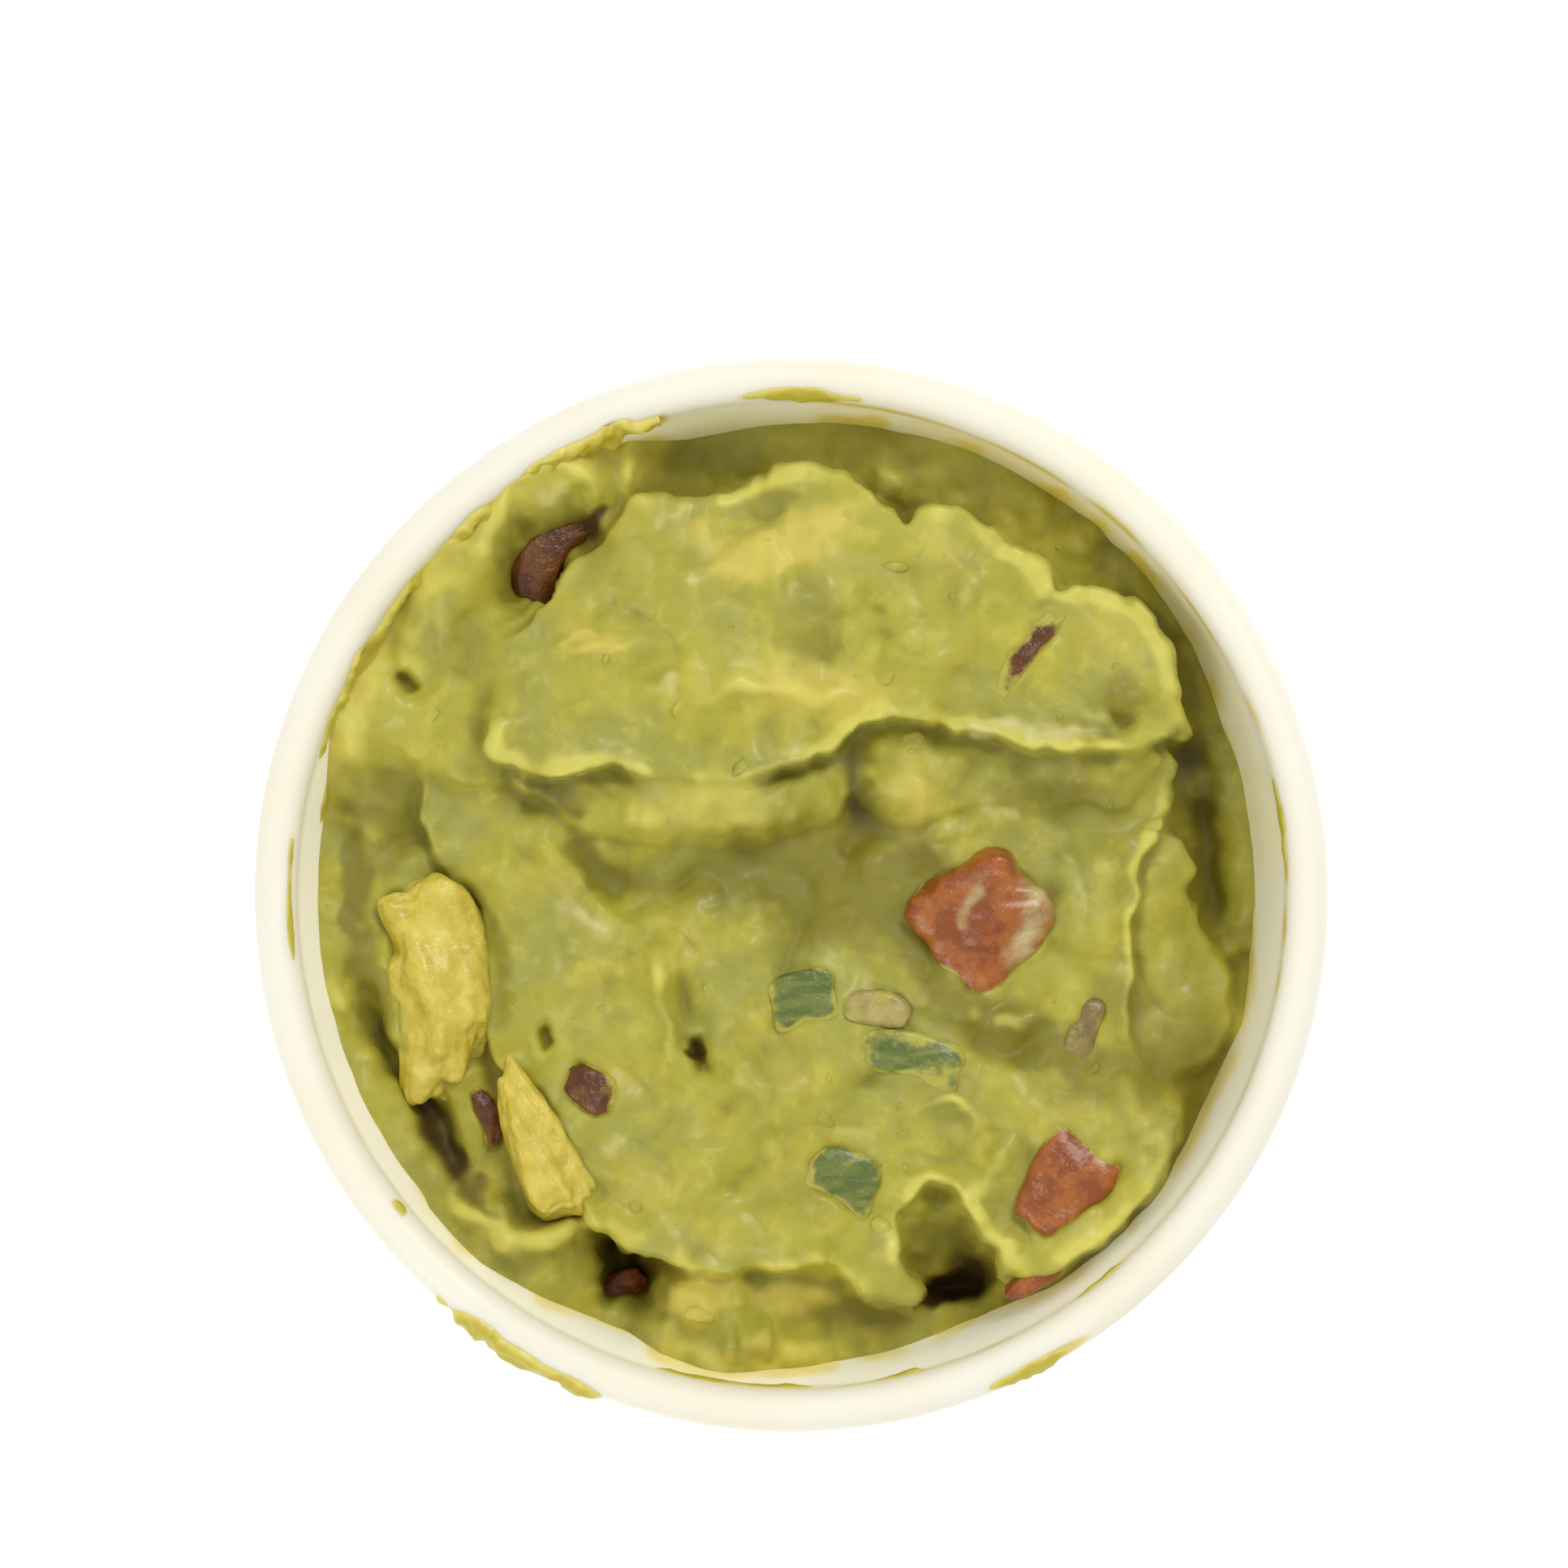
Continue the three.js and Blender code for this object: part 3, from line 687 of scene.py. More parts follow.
FOLDS = (
    Fold("right fold", 41.8, (-0.15, 0), (28, -4), 0.2, 0.8, 0, 2.2, 9,
         ((25, 6), (27.8, 3), (29.5, -1.5), (31, -5.5), (31.6, -8.5), (30.6, -11), (28.4, -12.6), (26, -13.2),
          (23, -12), (22, -4), (23, 3))),
    Fold("left slope", 45.6, (0.02, 0.04), (-27, 14), 0.2, 0.9, 0, 2.4, 8,
         ((-20, 8.6), (-24, 8.4), (-27.4, 10.6), (-31.2, 13), (-34.5, 14.2), (-34, 18), (-31, 24), (-27, 27),
          (-22, 26.5), (-20.5, 23), (-18, 20), (-18, 14))),
    Fold("front fold", 43.8, (0, -0.035), (0, -10), 0.75, 0.6, 0.5, 2, 10,
         ((27, 11.5), (26.7, 5.8), (25.2, 2.1), (24.4, -2.2), (24.1, -7.1), (24.3, -11.4), (26.6, -14.8),
          (26.4, -18.8), (23.4, -23.6), (19.7, -26.6), (16.9, -27), (14.3, -23.7), (12.6, -21.2),
          (10.9, -20.1), (8.9, -21.1), (7.6, -23.9), (7.3, -26.4), (8.6, -28.8), (6.3, -28.3), (3.1, -26.2),
          (-2, -25.9), (-4.9, -26.6), (-7.7, -26.2), (-13.1, -24.2), (-15.4, -21.6), (-17.6, -17.3),
          (-19.8, -13.4), (-21.4, -10.2), (-21.8, -6), (-22.2, -1.8), (-24.2, 1.8), (-26.4, 5.2), (-26, 9.8),
          (-23.7, 14.3), (-21.4, 20.6), (1.4, 25.8), (20.9, 19.5), (25, 15.8))),
    Fold("skirt under the top fold", 45, (0, 0.16), (0, 8), 0, 1, 0, 2, 9,
         ((-20, 9), (-17.6, 7), (-14.6, 4.8), (-12, 4.6), (-9, 4), (-5, 3.6), (-0.5, 4), (3.2, 5.2),
          (4.4, 7.6), (6, 5.4), (9.4, 4.8), (12.5, 6.4), (16.5, 6), (20.5, 6.6), (24.2, 6.8), (26, 9.5),
          (25.2, 15), (21.6, 19), (0, 26), (-20, 19))),
    Fold("top fold", 48.2, (0, 0), (0, 18), 0.75, 0.5, 0.5, 1.5, 11,
         ((-20.6, 9.4), (-21.3, 12.8), (-20.8, 16.6), (-17.4, 20.2), (-15.2, 23.2), (-12.2, 26),
          (-10.6, 28.2), (-7.1, 27.8), (-2.8, 29.2), (1.4, 29.8), (4.9, 28.8), (7.7, 26.4), (10.6, 27.2),
          (14.3, 25.2), (17.4, 23.1), (18.9, 20.9), (23.4, 20.7), (25.9, 18), (26.7, 14.4), (27, 11.9),
          (23.7, 10.5), (18.6, 10), (13.6, 11.4), (8.9, 12.9), (5.4, 12.3), (3.4, 10.8), (0.9, 9.6),
          (-3, 8.6), (-6, 8.3), (-9.4, 8.3), (-12.3, 9.6), (-16, 8.7))),
)

LUMPS = (
    Lump("face lump left", 2.2, (-6.6, 5.9), (5.6, 2.1)),
    Lump("face lump right", 2.6, (8.6, 7.8), (2.9, 2.9)),
    Lump("face lump middle", 1.6, (-1.1, 5.8), (2.3, 1.5), 20),
    Lump("lump beside the tomato", 1.5, (21.6, -0.8), (2.2, 5)),
    Lump("lump on the top fold", 0.9, (23.2, 16), (2.9, 2.6)),
    Lump("lump behind", 1.4, (7.3, 29.7), (1.2, 1.4)),
    Lump("small lump behind", 0.8, (20.9, 25.8), (1.7, 1.1), 30),
    Lump("low lump left", 1.8, (-30.4, 5.8), (2, 2)),
    Lump("lower lump left", 1.2, (-27, 1.8), (2.2, 1.6), -40),
    Lump("ledge lump", 1.8, (-7.1, -29.1), (2.3, 1.9)),
    Lump("long ledge lump", 1.5, (0.6, -28.2), (3.1, 1.5)),
    Lump("face in the notch", 3.5, (10.6, -24), (2, 3)),
    Lump("lump in the right trough", 1.4, (29.2, 8.6), (0.9, 1.9), 10),
)

# Paths of ridges that also catch the light
CURL = ((8.9, -15.4), (11.4, -14.9), (13.1, -16.2), (12.9, -18.8))
SWOOP = ((-5.4, -8.5), (-4, -11.9), (-0.9, -14.5), (2, -15.7))
SLOPE = ((16, -15.7), (14.9, -19.4), (13.1, -21.4))
SWEEP = ((-6.6, 13.8), (-2.6, 14.9), (1.4, 13.8), (6, 14.3))
ARCH = ((-21.4, 25.2), (-19.6, 29.2), (-16.3, 30.6), (-13.5, 28.7))

STROKES = (
    Stroke("edge under the top fold", 0.9, 1, ((-19.1, 5.4), (-16.3, 2.2), (-13.5, -1), (-10.6, -3.4))),
    Stroke("slope down to the chunks", -1.6, 3, ((-26, 3.4), (-22.8, -2), (-22, -8), (-20.6, -11.6))),
    Stroke("face under the lip", 1.3, 1.5, ((-13.6, 6.4), (-9, 6), (-4, 6.4), (0.6, 7.4), (3, 8.8))),
    Stroke("hollow at its foot", -1.7, 1.4, ((-15.2, 4.6), (-13.9, 1.6), (-11, 1), (-6.6, 2))),
    Stroke("trough at its foot", -1, 2.2, ((-6.6, 2), (-0.9, 3.2), (4.4, 4.6), (4.7, 9.4))),
    Stroke("right end of the trough", -0.5, 2, ((10.6, 3.4), (16.3, 5.2), (20.9, 4.8), (24, 5.6))),
    Stroke("middle groove", -0.6, 1.4, ((1.7, 2.2), (0.6, -1.1), (-0.3, -4.5), (-1.1, -7.7))),
    Stroke("groove under the tomato", -1, 1.3, ((11.4, -8.2), (15, -10.4), (18.6, -11.2), (22, -11.4))),
    Stroke("ridge under the tomato", 0.8, 1.1, ((7.1, -6.2), (12.3, -8.2), (16.9, -8.8), (20.3, -7.4))),
    Stroke("curl", 0.7, 0.6, CURL),
    Stroke("upright ridge", 0.8, 0.7, ((-10, -2.8), (-9.5, -7.4), (-9, -13.1))),
    Stroke("upright groove", -0.5, 1.3, ((-7.4, -5.1), (-7.1, -8.5), (-6.5, -11.5))),
    Stroke("swooping ridge", 0.8, 1.2, SWOOP),
    Stroke("inner sweep", 0.5, 1.0, ((-4.3, -17.1), (-0.9, -15.9), (1.4, -18.2))),
    Stroke("slope by the front tomato", 0.8, 1.3, SLOPE),
    Stroke("strip along the wall", 1, 1.3, ((24, -12.5), (25.1, -17.1), (23.7, -21.7), (18.6, -25.8))),
    Stroke("small dark hole", -2.4, 0.6, ((-7.4, -10.8), (-6.6, -11.6), (-6.1, -12.2))),
    Stroke("small hole left", -1.6, 0.6, ((-18, -9.6), (-17.7, -10.4), (-17.4, -11.2))),
    Stroke("small hole on the slope", -2.4, 0.6, ((-28.2, 15.9), (-27.7, 15.2), (-27.2, 14.5))),
    Stroke("ridge down the left slope", 0.9, 0.9, ((-23.7, 19.5), (-25.1, 14.3), (-26.3, 9.8))),
    Stroke("groove down the left slope", -0.9, 0.8, ((-21.4, 15.5), (-22.3, 11.5), (-22.9, 8.1))),
    Stroke("groove on the far left", -0.7, 1, ((-27.1, 22.9), (-28.6, 18.3), (-29.4, 13.8))),
    Stroke("ridge below the left slope", 0.6, 0.8, ((-19, 8.6), (-20.6, 4), (-21.4, -0.5))),
    Stroke("dish on the top fold", -1, 1.3, ((-5.4, 26.3), (-2.6, 27.4), (0.6, 27.6))),
    Stroke("curl on the top fold", 0.6, 0.6, ((-16.9, 18.1), (-14.6, 17.2), (-11.4, 18.1))),
    Stroke("sweep on the top fold", 0.7, 1, SWEEP),
    Stroke("hollow on the top fold", -0.8, 1.4, ((-1.4, 18.6), (2, 17.2), (3.7, 17.8))),
    Stroke("second hollow on top", -0.5, 0.9, ((4.2, 22), (6, 20), (6.4, 17.8))),
    Stroke("dip behind the front lip", -0.8, 0.9, ((10, 13.2), (14.6, 12.1), (20.3, 11.2), (24.3, 12.1))),
    Stroke("dip at its right end", -0.9, 0.7, ((21.4, 13.8), (23.4, 12.6), (24.3, 12.1))),
    Stroke("ridge at the back", 0.5, 0.9, ((9.4, 25.2), (11.7, 22.9), (13.4, 19.5))),
    Stroke("pit with the onion", -4, 2.1, ((-18.6, 20.8), (-18.2, 24.6), (-14, 27.2))),
    Stroke("arch round the pit", 0.9, 0.9, ARCH),
    Stroke("crevice at the front wall", -3.2, 0.9, ((8.6, -29.6), (11.4, -28.9), (14.6, -27.9))),
    Stroke("left end of the front lip", 0.7, 0.6, ((-20.4, 13), (-20.9, 10.8), (-20.2, 9.2))),
    Stroke("film over the top of the tomato", 0.9, 0.8, ((10.6, 3.6), (13.4, 4.6))),
    Stroke("fin at the rim", 1.4, 0.8, ((-8, 34), (-10.6, 32.6), (-11.4, 30.9), (-10.6, 28.3))),
    Stroke("round hollow behind", -0.5, 1.7, ((-8, 30.3), (-5.4, 30.5))),
    Stroke("pit at the front", -1.2, 1.8, ((10.9, -22.8), (11.7, -25.7), (10, -27.9), (14, -27.4))),
    Stroke("dark pit at the front", -6.5, 1.4, ((-13, -25.4), (-12.6, -27.4), (-11.4, -29.1))),
    Stroke("cleft in the front ledge", 1, 0.9, ((-4, -26.8), (-3.4, -29.7))),
    Stroke("bump at the front", 2.2, 1.4, ((-4, -31.9), (-1.4, -31.9))),
    Stroke("ridge at the lower left", 3, 1.1, ((-22, -23.9), (-18, -24.6), (-13.4, -23.3))),
    Stroke("crest at the lower left", 1.6, 0.8, ((-24.6, -22.2), (-21.4, -22.8), (-21.4, -21.4))),
    Stroke("crevice along the left wall", -2.6, 1.1, ((-31.8, -5.4), (-30, -10.2), (-27.1, -14.8),
                                                      (-23.7, -19.9))),
    Stroke("crevice along the right wall", -2.4, 1.4, ((27.7, 12.6), (29.7, 6.9), (30.9, 1.2), (31.4, -2.2))),
    Stroke("film on the left wall", 1.2, 1.1, ((-32.9, 13.8), (-31.7, 11.5), (-30.6, 9.2))),
)

# Where whole bits of yellow avocado show in the mash; on the faces under the front lip these patches are also
# painted light, lifting faces that lie in shade
YELLOW = (
    Lump("avocado in the top fold", 1.0, (-0.6, 24.8), (6.2, 1.7), 24),
    Lump("above it", 0.5, (-6.8, 25.6), (2.4, 1.6)),
    Lump("swirl in the middle", 0.6, (1.5, 14.4), (5.6, 2.2), -8),
    Lump("left face", 0.5, (-6, 6), (7.4, 2.6)),
    Lump("right face", 0.6, (8.8, 7.4), (2.8, 3.4)),
    Lump("curl on the top fold", 0.8, (-14.4, 17.7), (2.8, 0.45)),
    Lump("right end of the top fold", 0.5, (23, 17.4), (2.4, 2)),
    Lump("back right of the top fold", 0.4, (10.6, 24.8), (2.6, 1.4), -20),
    Lump("beside the tomato", 0.4, (22.4, -1.5), (1.4, 5)),
    Lump("front ledge left", 0.8, (-7, -28.8), (3, 2.4)),
    Lump("front ledge right", 0.7, (0.6, -28.6), (4, 1.6)),
    Lump("arch over the pit", 0.9, (-17.4, 30), (4.5, 1.3), 30),
    Lump("fin at the rim", 0.9, (-10.6, 32.4), (1.6, 2.2)),
    Lump("film on the left wall", 0.8, (-31.6, 13.5), (1.4, 5.5), -18),
    Lump("ridge at the lower left", 0.6, (-18, -24.4), (4.6, 1.2)),
    Lump("lower left of the front fold", 0.4, (-10, -21), (4, 2)),
    Lump("strand right of the middle", 0.5, (13.6, -17.4), (0.7, 3), 20),
)

# Edges that stand up and catch the light
BRIGHT = (
    Stroke("front lip left", 1, 2, ((-20.6, 12.5), (-20.4, 9.8), (-17.6, 8.9), (-14.6, 9), (-12.6, 8.5),
                                    (-9, 8.1), (-5.4, 8.2), (-2, 8.8), (1, 9.6), (3.2, 11.4))),
    Stroke("front lip right", 1, 1.2, ((2.6, 11), (5.4, 12.4), (9, 12.6), (14, 11.4), (19, 10.2), (24, 10.8),
                                       (27, 12))),
    Stroke("left face", 0.45, 2.2, ((-11.8, 6.6), (-7, 5.8), (-1.6, 6.4))),
    Stroke("ridge behind", 0.9, 0.9, ((-11, 28.4), (-7, 27.9), (-2.8, 29.2), (1.6, 29.8))),
    Stroke("right back edge", 0.9, 1, ((10, 27), (14.5, 25), (18, 21.8), (23, 20.8), (26, 18), (27, 13))),
    Stroke("right edge of the front fold", 1, 1.1, ((26.8, 11), (26.4, 6), (25, 1.5), (24.2, -3), (24, -8))),
    Stroke("notch", 0.9, 1.3, ((7.4, -27), (7.6, -23.5), (9.2, -21), (11, -20.2), (13.4, -22),
                               (16.5, -26.6))),
    Stroke("front edge", 0.6, 1.8, ((-12, -24.8), (-6, -26.4), (0, -26), (5, -27.4))),
    Stroke("left corner of the front fold", 0.6, 2, ((-25.5, 12), (-26.6, 7), (-25.6, 4))),
    Stroke("strip along the wall", 0.7, 2, ((17, -26.8), (22, -24), (25.5, -19))),
    Stroke("lower left edge", 0.8, 1.8, ((-23, -22.6), (-19, -24.6), (-14, -24))),
    Stroke("film right of the tomato", 0.6, 1.2, ((20, 4.5), (20.6, 0), (20, -4))),
    Stroke("upright ridge", 0.85, 1, ((-9.8, -2.6), (-9.4, -7.4), (-9, -12.6))),
    Stroke("swooping ridge", 0.8, 1, SWOOP),
    Stroke("curl", 0.85, 0.8, CURL),
    Stroke("slope by the front tomato", 0.8, 1.2, SLOPE),
    Stroke("ridge under the tomato", 0.75, 1.1, ((7.1, -6.2), (12.3, -8.2), (16.9, -8.8))),
    Stroke("sweep on the top fold", 0.8, 1.2, SWEEP),
    Stroke("left of the upright ridge", 0.7, 1.4, ((-16, -1.6), (-14, -4.4), (-13.4, -8))),
    Stroke("arch round the pit", 0.8, 2, ARCH),
    Stroke("top of the left slope", 0.4, 2, ((-24.2, 22), (-24.6, 17), (-25.4, 12))),
)

# Painted shade: patches painted darker olive where the mash lies in shade
SHADE = (
    Lump("middle", 1.0, (3.5, 0.5), (8.5, 4.6), -14),
    Lump("left of the tomato", 0.9, (9.4, -0.5), (2.2, 5.5), 8),
    Lump("cleft under the lip", 1.0, (5, 8.2), (1.5, 3.4), 10),
    Lump("left end under the lip", 1.0, (-16.8, 7.2), (3, 1.4), -6),
    Lump("between avocado and swirl", 0.5, (2, 20.6), (2.6, 1.8)),
    Lump("right end of the top fold", 0.6, (23.4, 14), (1.8, 1.6)),
    Lump("along the left wall", 0.8, (-31.8, 1.6), (1.1, 5)),
    Lump("low by the left wall", 0.7, (-30.4, -6), (1.2, 5), 18),
    Lump("foot of the left face", 0.9, (-14.6, 2.2), (2.6, 1.5), -45),
    Lump("left of the middle", 0.5, (-7, 1), (6, 2.6)),
    Lump("right face", 0.8, (19, 7.4), (6, 1.8), -6),
    Lump("below the tomato", 0.8, (14, -8.5), (6, 2), -18),
    Lump("below it on the right", 0.9, (18.5, -11.4), (5, 1.8), -8),
    Lump("right corner of the front fold", 0.7, (23.4, -7.5), (2.2, 3.2), 20),
    Lump("right fold", 0.5, (29, -4.5), (3, 7), 10),
    Lump("lower right mash", 0.7, (27.5, -12), (3.6, 3), 30),
    Lump("above the front tomato", 0.4, (22, -14.5), (4, 2), 10),
    Lump("left valley", 0.8, (-29, 7), (3, 2.6), 20),
    Lump("left valley low", 0.6, (-29.6, 2.6), (2.6, 1.6)),
    Lump("left edge of the front fold", 0.8, (-23.4, -0.5), (1.3, 4), 35),
    Lump("beside the left chunk", 0.6, (-21, -7), (1.2, 4), 5),
    Lump("back left", 0.6, (-23, 18), (2.2, 3.4), -20),
    Lump("far left", 0.4, (-29, 20), (2, 4), -30),
    Lump("right of the dark pit", 0.4, (-8.5, -29), (1.6, 2.4)),
    Lump("notch at the front", 0.7, (10.4, -24), (1.6, 3.2)),
    Lump("front ledge right", 0.6, (5, -30), (6, 1.6)),
    Lump("left of the front pepper", 0.35, (0, -21.5), (5, 3), 10),
    Lump("hollow on the top fold", 0.5, (0.8, 17.6), (3.2, 1.3)),
    Lump("back of the top fold", 0.45, (-13.5, 24), (2.6, 2.2), 40),
    Lump("dish on the top fold", 0.6, (-1.4, 27.7), (2.8, 0.9)),
)

# Painted highlights: pale glints and streaks where the wet mash catches the light
PAINTED_GLINTS = (
    Stroke("on the front lip", 1.0, 0.8, ((10.6, 12.8), (14.6, 11.9), (18, 11), (22, 11.2))),
    Stroke("behind the front lip", 0.6, 0.7, ((16.5, 12.4), (20, 12), (22.6, 12.4))),
    Stroke("left slope", 0.8, 1.0, ((-16.8, 0.2), (-14.6, -1.6), (-12.6, -3.2))),
    Stroke("right of the tomato", 0.6, 0.7, ((19.6, 4), (20.4, 0), (19.8, -4))),
    Stroke("glint left of the middle", 0.8, 1.1, ((-9.2, 15.2), (-8, 14.4))),
    Stroke("glint at the back", 1.0, 0.6, ((-7.4, 22.3), (-6.4, 22.0))),
    Stroke("second glint at the back", 0.8, 0.6, ((2.3, 22.5), (3.1, 22.2))),
    Stroke("spot at the back", 0.6, 0.8, ((-9.4, 20), (-8.6, 19.8))),
    Stroke("right face", 0.7, 0.8, ((13.6, 6.4), (16.4, 5.4))),
    Stroke("behind the right lump", 0.6, 0.6, ((26.2, 15.6), (26.4, 13.4))),
    Stroke("far left lump", 0.7, 0.9, ((-28.4, 12.8), (-27.6, 12))),
    Stroke("along the arch", 0.7, 0.8, ((-18.4, 28.2), (-15.6, 29.4))),
    Stroke("low on the left", 0.6, 0.8, ((-13.4, -17.6), (-12.6, -18.6))),
)

# Where a film of mash is bright yellow-green along the walls. The trough behind the top fold, which the wall
# shades, gets it as painted light, and the broad patches make the mash paler.
FILM = (
    Stroke("along the left wall", 1.0, 2.3, ((-34.2, 6), (-32.6, 13), (-29.2, 19.6), (-24.6, 25.2),
                                             (-18.6, 30), (-13, 32.4), (-8.6, 34.4))),
    Stroke("along the lower left wall", 0.7, 0.8, ((-33, -5), (-32, -9.5), (-30.4, -13))),
    Stroke("below it", 0.6, 0.9, ((-26.4, -19), (-23.2, -23), (-18.4, -26.8))),
    Stroke("along the front wall", 0.7, 1.1, ((-13, -31), (-6, -32.8), (0, -33.6), (6, -32.8))),
    Stroke("strands by the round hollow", 0.7, 0.7, ((-9.6, 34), (-11, 31.4), (-10.6, 28.6))),
    Stroke("trough behind", 0.5, 2.6, ((24, 19), (17, 26), (8, 31), (-2, 32.4))),
    Lump("middle of the top fold", 0.32, (-2, 15), (16, 4.2)),
    Lump("back of the top fold", 0.25, (1, 24), (13, 4)),
    Lump("left slope", 0.25, (-28, 14), (4, 7), 20),
    Lump("left mash", 0.3, (-29, 4), (3, 4)),
)

# Painted shade in the darkest crevices, clefts and holes
DARK = (
    Stroke("crevice along the lower left wall", 0.75, 1.0, ((-28.2, -13.6), (-26.2, -17), (-23.6, -20.6),
                                                            (-21.4, -22.4))),
    Stroke("beside the left chunk", 0.45, 0.8, ((-31.2, -4), (-30, -8), (-28.4, -11.6))),
    Stroke("crevice at the front wall", 0.9, 0.9, ((8.8, -29.6), (11.4, -28.6), (14.4, -27.4))),
    Stroke("cleft under the lip", 0.6, 1.1, ((4.8, 10.8), (4.8, 8), (5.4, 5))),
    Stroke("tail of the onion's hollow", 0.9, 0.7, ((-16.4, 25.4), (-14, 27.2), (-12.2, 28))),
    Stroke("small dark hole", 0.9, 0.5, ((-7.2, -11), (-6.6, -11.6), (-6.2, -12))),
    Stroke("under the left end of the lip", 0.5, 0.8, ((-18.8, 7.8), (-16.4, 6.8), (-14.2, 6))),
    Stroke("in the right trough", 0.2, 0.9, ((28, 13), (29.6, 9.4), (31, 4), (31.4, 0))),
)

# Deep places that the light still reaches
LIT = (
    Stroke("trough behind", 0.95, 3, ((25.5, 18), (19, 25), (10, 30.5), (0, 32.5), (-8, 31))),
    Stroke("notch", 0.6, 2.4, ((9.4, -22), (10.6, -24.6))),
    Stroke("ledge", 0.5, 2, ((-7, -28.6), (2, -28.6))),
    Stroke("dark pit at the front", 0.3, 1.8, ((-13.2, -25.4), (-12.6, -27.6), (-11.4, -29.4))),
)

# Where the mash is smeared smooth, so that a fold's edge fades out
SOFT = (
    Lump("under the front lip", 0.85, (-7.4, 7.5), (6.6, 1.5), -2),
    Lump("under its right part", 0.75, (15, 9.4), (8, 1.4)),
    Lump("right end under the lip", 0.85, (25.4, 8.2), (2, 2.6)),
    Lump("left back of the top fold", 0.6, (-12.4, 25.6), (4.4, 2.4), 42),
    Lump("back of the top fold", 0.6, (-4, 29), (5, 1.8)),
    Lump("front edge", 0.55, (-3, -26.6), (7, 1.4)),
    Lump("left end of the top fold", 0.95, (-21.5, 17), (2.6, 5)),
    Lump("left edge of the front fold", 0.7, (-23, 0), (2.5, 7), 20),
    Lump("beside the left chunk", 0.6, (-21, -7), (2.2, 5)),
    Lump("foot of the right face", 0.85, (17.5, 5.6), (8, 2.4)),
    Lump("foot of the left face", 0.7, (-7, 1.8), (9, 2.4), -4),
    Lump("face under the lip", 0.5, (-6, 6.5), (8, 1.6)),
    Lump("left slope", 0.8, (-27, 11), (6, 5)),
    Lump("right fold", 0.9, (28.5, -6), (3, 8), 8),
    Lump("lower right", 0.9, (26, -14), (3.5, 3)),
    Lump("notch at the front", 0.6, (10.5, -25), (3, 3)),
    Lump("round hollow behind", 0.9, (-7, 30.5), (3.5, 2)),
)

# Height at which the mash meets the wall: degrees from +X towards +Y, and millimetres
WALL_LINE = (
    (0, 34.5), (17, 37), (32, 42), (48, 43.5), (66, 44), (84, 42.5), (101, 39.5), (108, 42), (116, 48.2),
    (124, 48.5), (136, 48.2), (150, 46.5), (162, 46), (170, 41.5), (178, 37), (186, 35.5), (197, 35),
    (211, 35.5), (221, 42.5), (230, 44), (238, 41), (247, 37), (254, 43), (262, 44), (271, 40.5), (285, 37.5),
    (294, 35.5), (303, 39), (318, 40.5), (328, 38), (336, 37.5), (344, 40), (352, 38),
)


def wall_line(angle: Array) -> Array:
    """Height at which the mash meets the wall, at angles in degrees."""
    return np.interp(angle, *zip(*WALL_LINE), period=360)


# Meshes


def blurred(heights: Array, cells: int, rounds: int = 2) -> Array:
    """A grid of heights, each averaged with its neighbours over a square.

    Args:
        heights: The grid.
        cells: How many neighbours to each side are averaged.
        rounds: How often.

    Returns:
        The smoother grid.
    """
    width = 2 * cells + 1
    for _ in range(rounds):
        for axis in (0, 1):
            pad = [(0, 0), (0, 0)]
            pad[axis] = (cells + 1, cells)
            sums = np.cumsum(np.pad(heights, pad, mode="edge"), axis=axis)
            ahead = np.take(sums, range(width, sums.shape[axis]), axis=axis)
            behind = np.take(sums, range(0, sums.shape[axis] - width), axis=axis)
            heights = (ahead - behind) / width
    return heights


def store(mesh: bpy.types.Mesh, name: str, numbers: Array) -> None:
    """Store a number on each vertex of a mesh."""
    mesh.attributes.new(name, "FLOAT", "POINT").data.foreach_set("value", np.asarray(numbers, np.float32))


def make_piece(name: str, points: Array, faces: Array | list[list[int]], material: bpy.types.Material,
               values: dict[str, Array], smooth: bool = True) -> bpy.types.Object:
    """A mesh object at the origin.

    Args:
        name: Its name.
        points: Its vertices in millimetres.
        faces: Its faces.
        material: Its finish.
        values: Numbers to store on its vertices, by attribute name.
        smooth: Whether its faces are shaded smooth.

    Returns:
        The object.
    """
    mesh = bpy.data.meshes.new(name)
    mesh.from_pydata((points * MM).tolist(), [], faces.tolist() if isinstance(faces, Array) else faces)
    mesh.polygons.foreach_set("use_smooth", np.full(len(mesh.polygons), smooth))
    for key, numbers in values.items():
        store(mesh, key, numbers)
    mesh.materials.append(material)
    mesh.validate()
    return add_object(name, mesh)


def belongs(piece: bpy.types.Object, slot: str, *nodes: str) -> None:
    """Fix a piece to the object and hide the solids that it stands for.

    Args:
        piece: The piece.
        slot: The material slot of the record; not used.
        nodes: The solids that it stands for.
    """
    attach(piece, BODY)
    if nodes:
        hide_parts(*nodes)
    log.info("%s: %d faces", piece.name, len(piece.data.polygons))


def grid_faces(rows: int, columns: int, ring: bool = False, tube: bool = False) -> Array:
    """Faces of a grid of vertices that is numbered row by row.

    Args:
        rows, columns: Vertices each way.
        ring: Whether the last row is joined to the first.
        tube: Whether the last column is joined to the first.

    Returns:
        Four vertex numbers for each face.
    """
    i, j = np.meshgrid(np.arange(rows - (not ring)), np.arange(columns - (not tube)), indexing="ij")
    here = i * columns
    there = (i + 1) % rows * columns
    beside = (j + 1) % columns
    return np.stack([here + j, there + j, there + beside, here + beside], -1).reshape(-1, 4)


# Cup


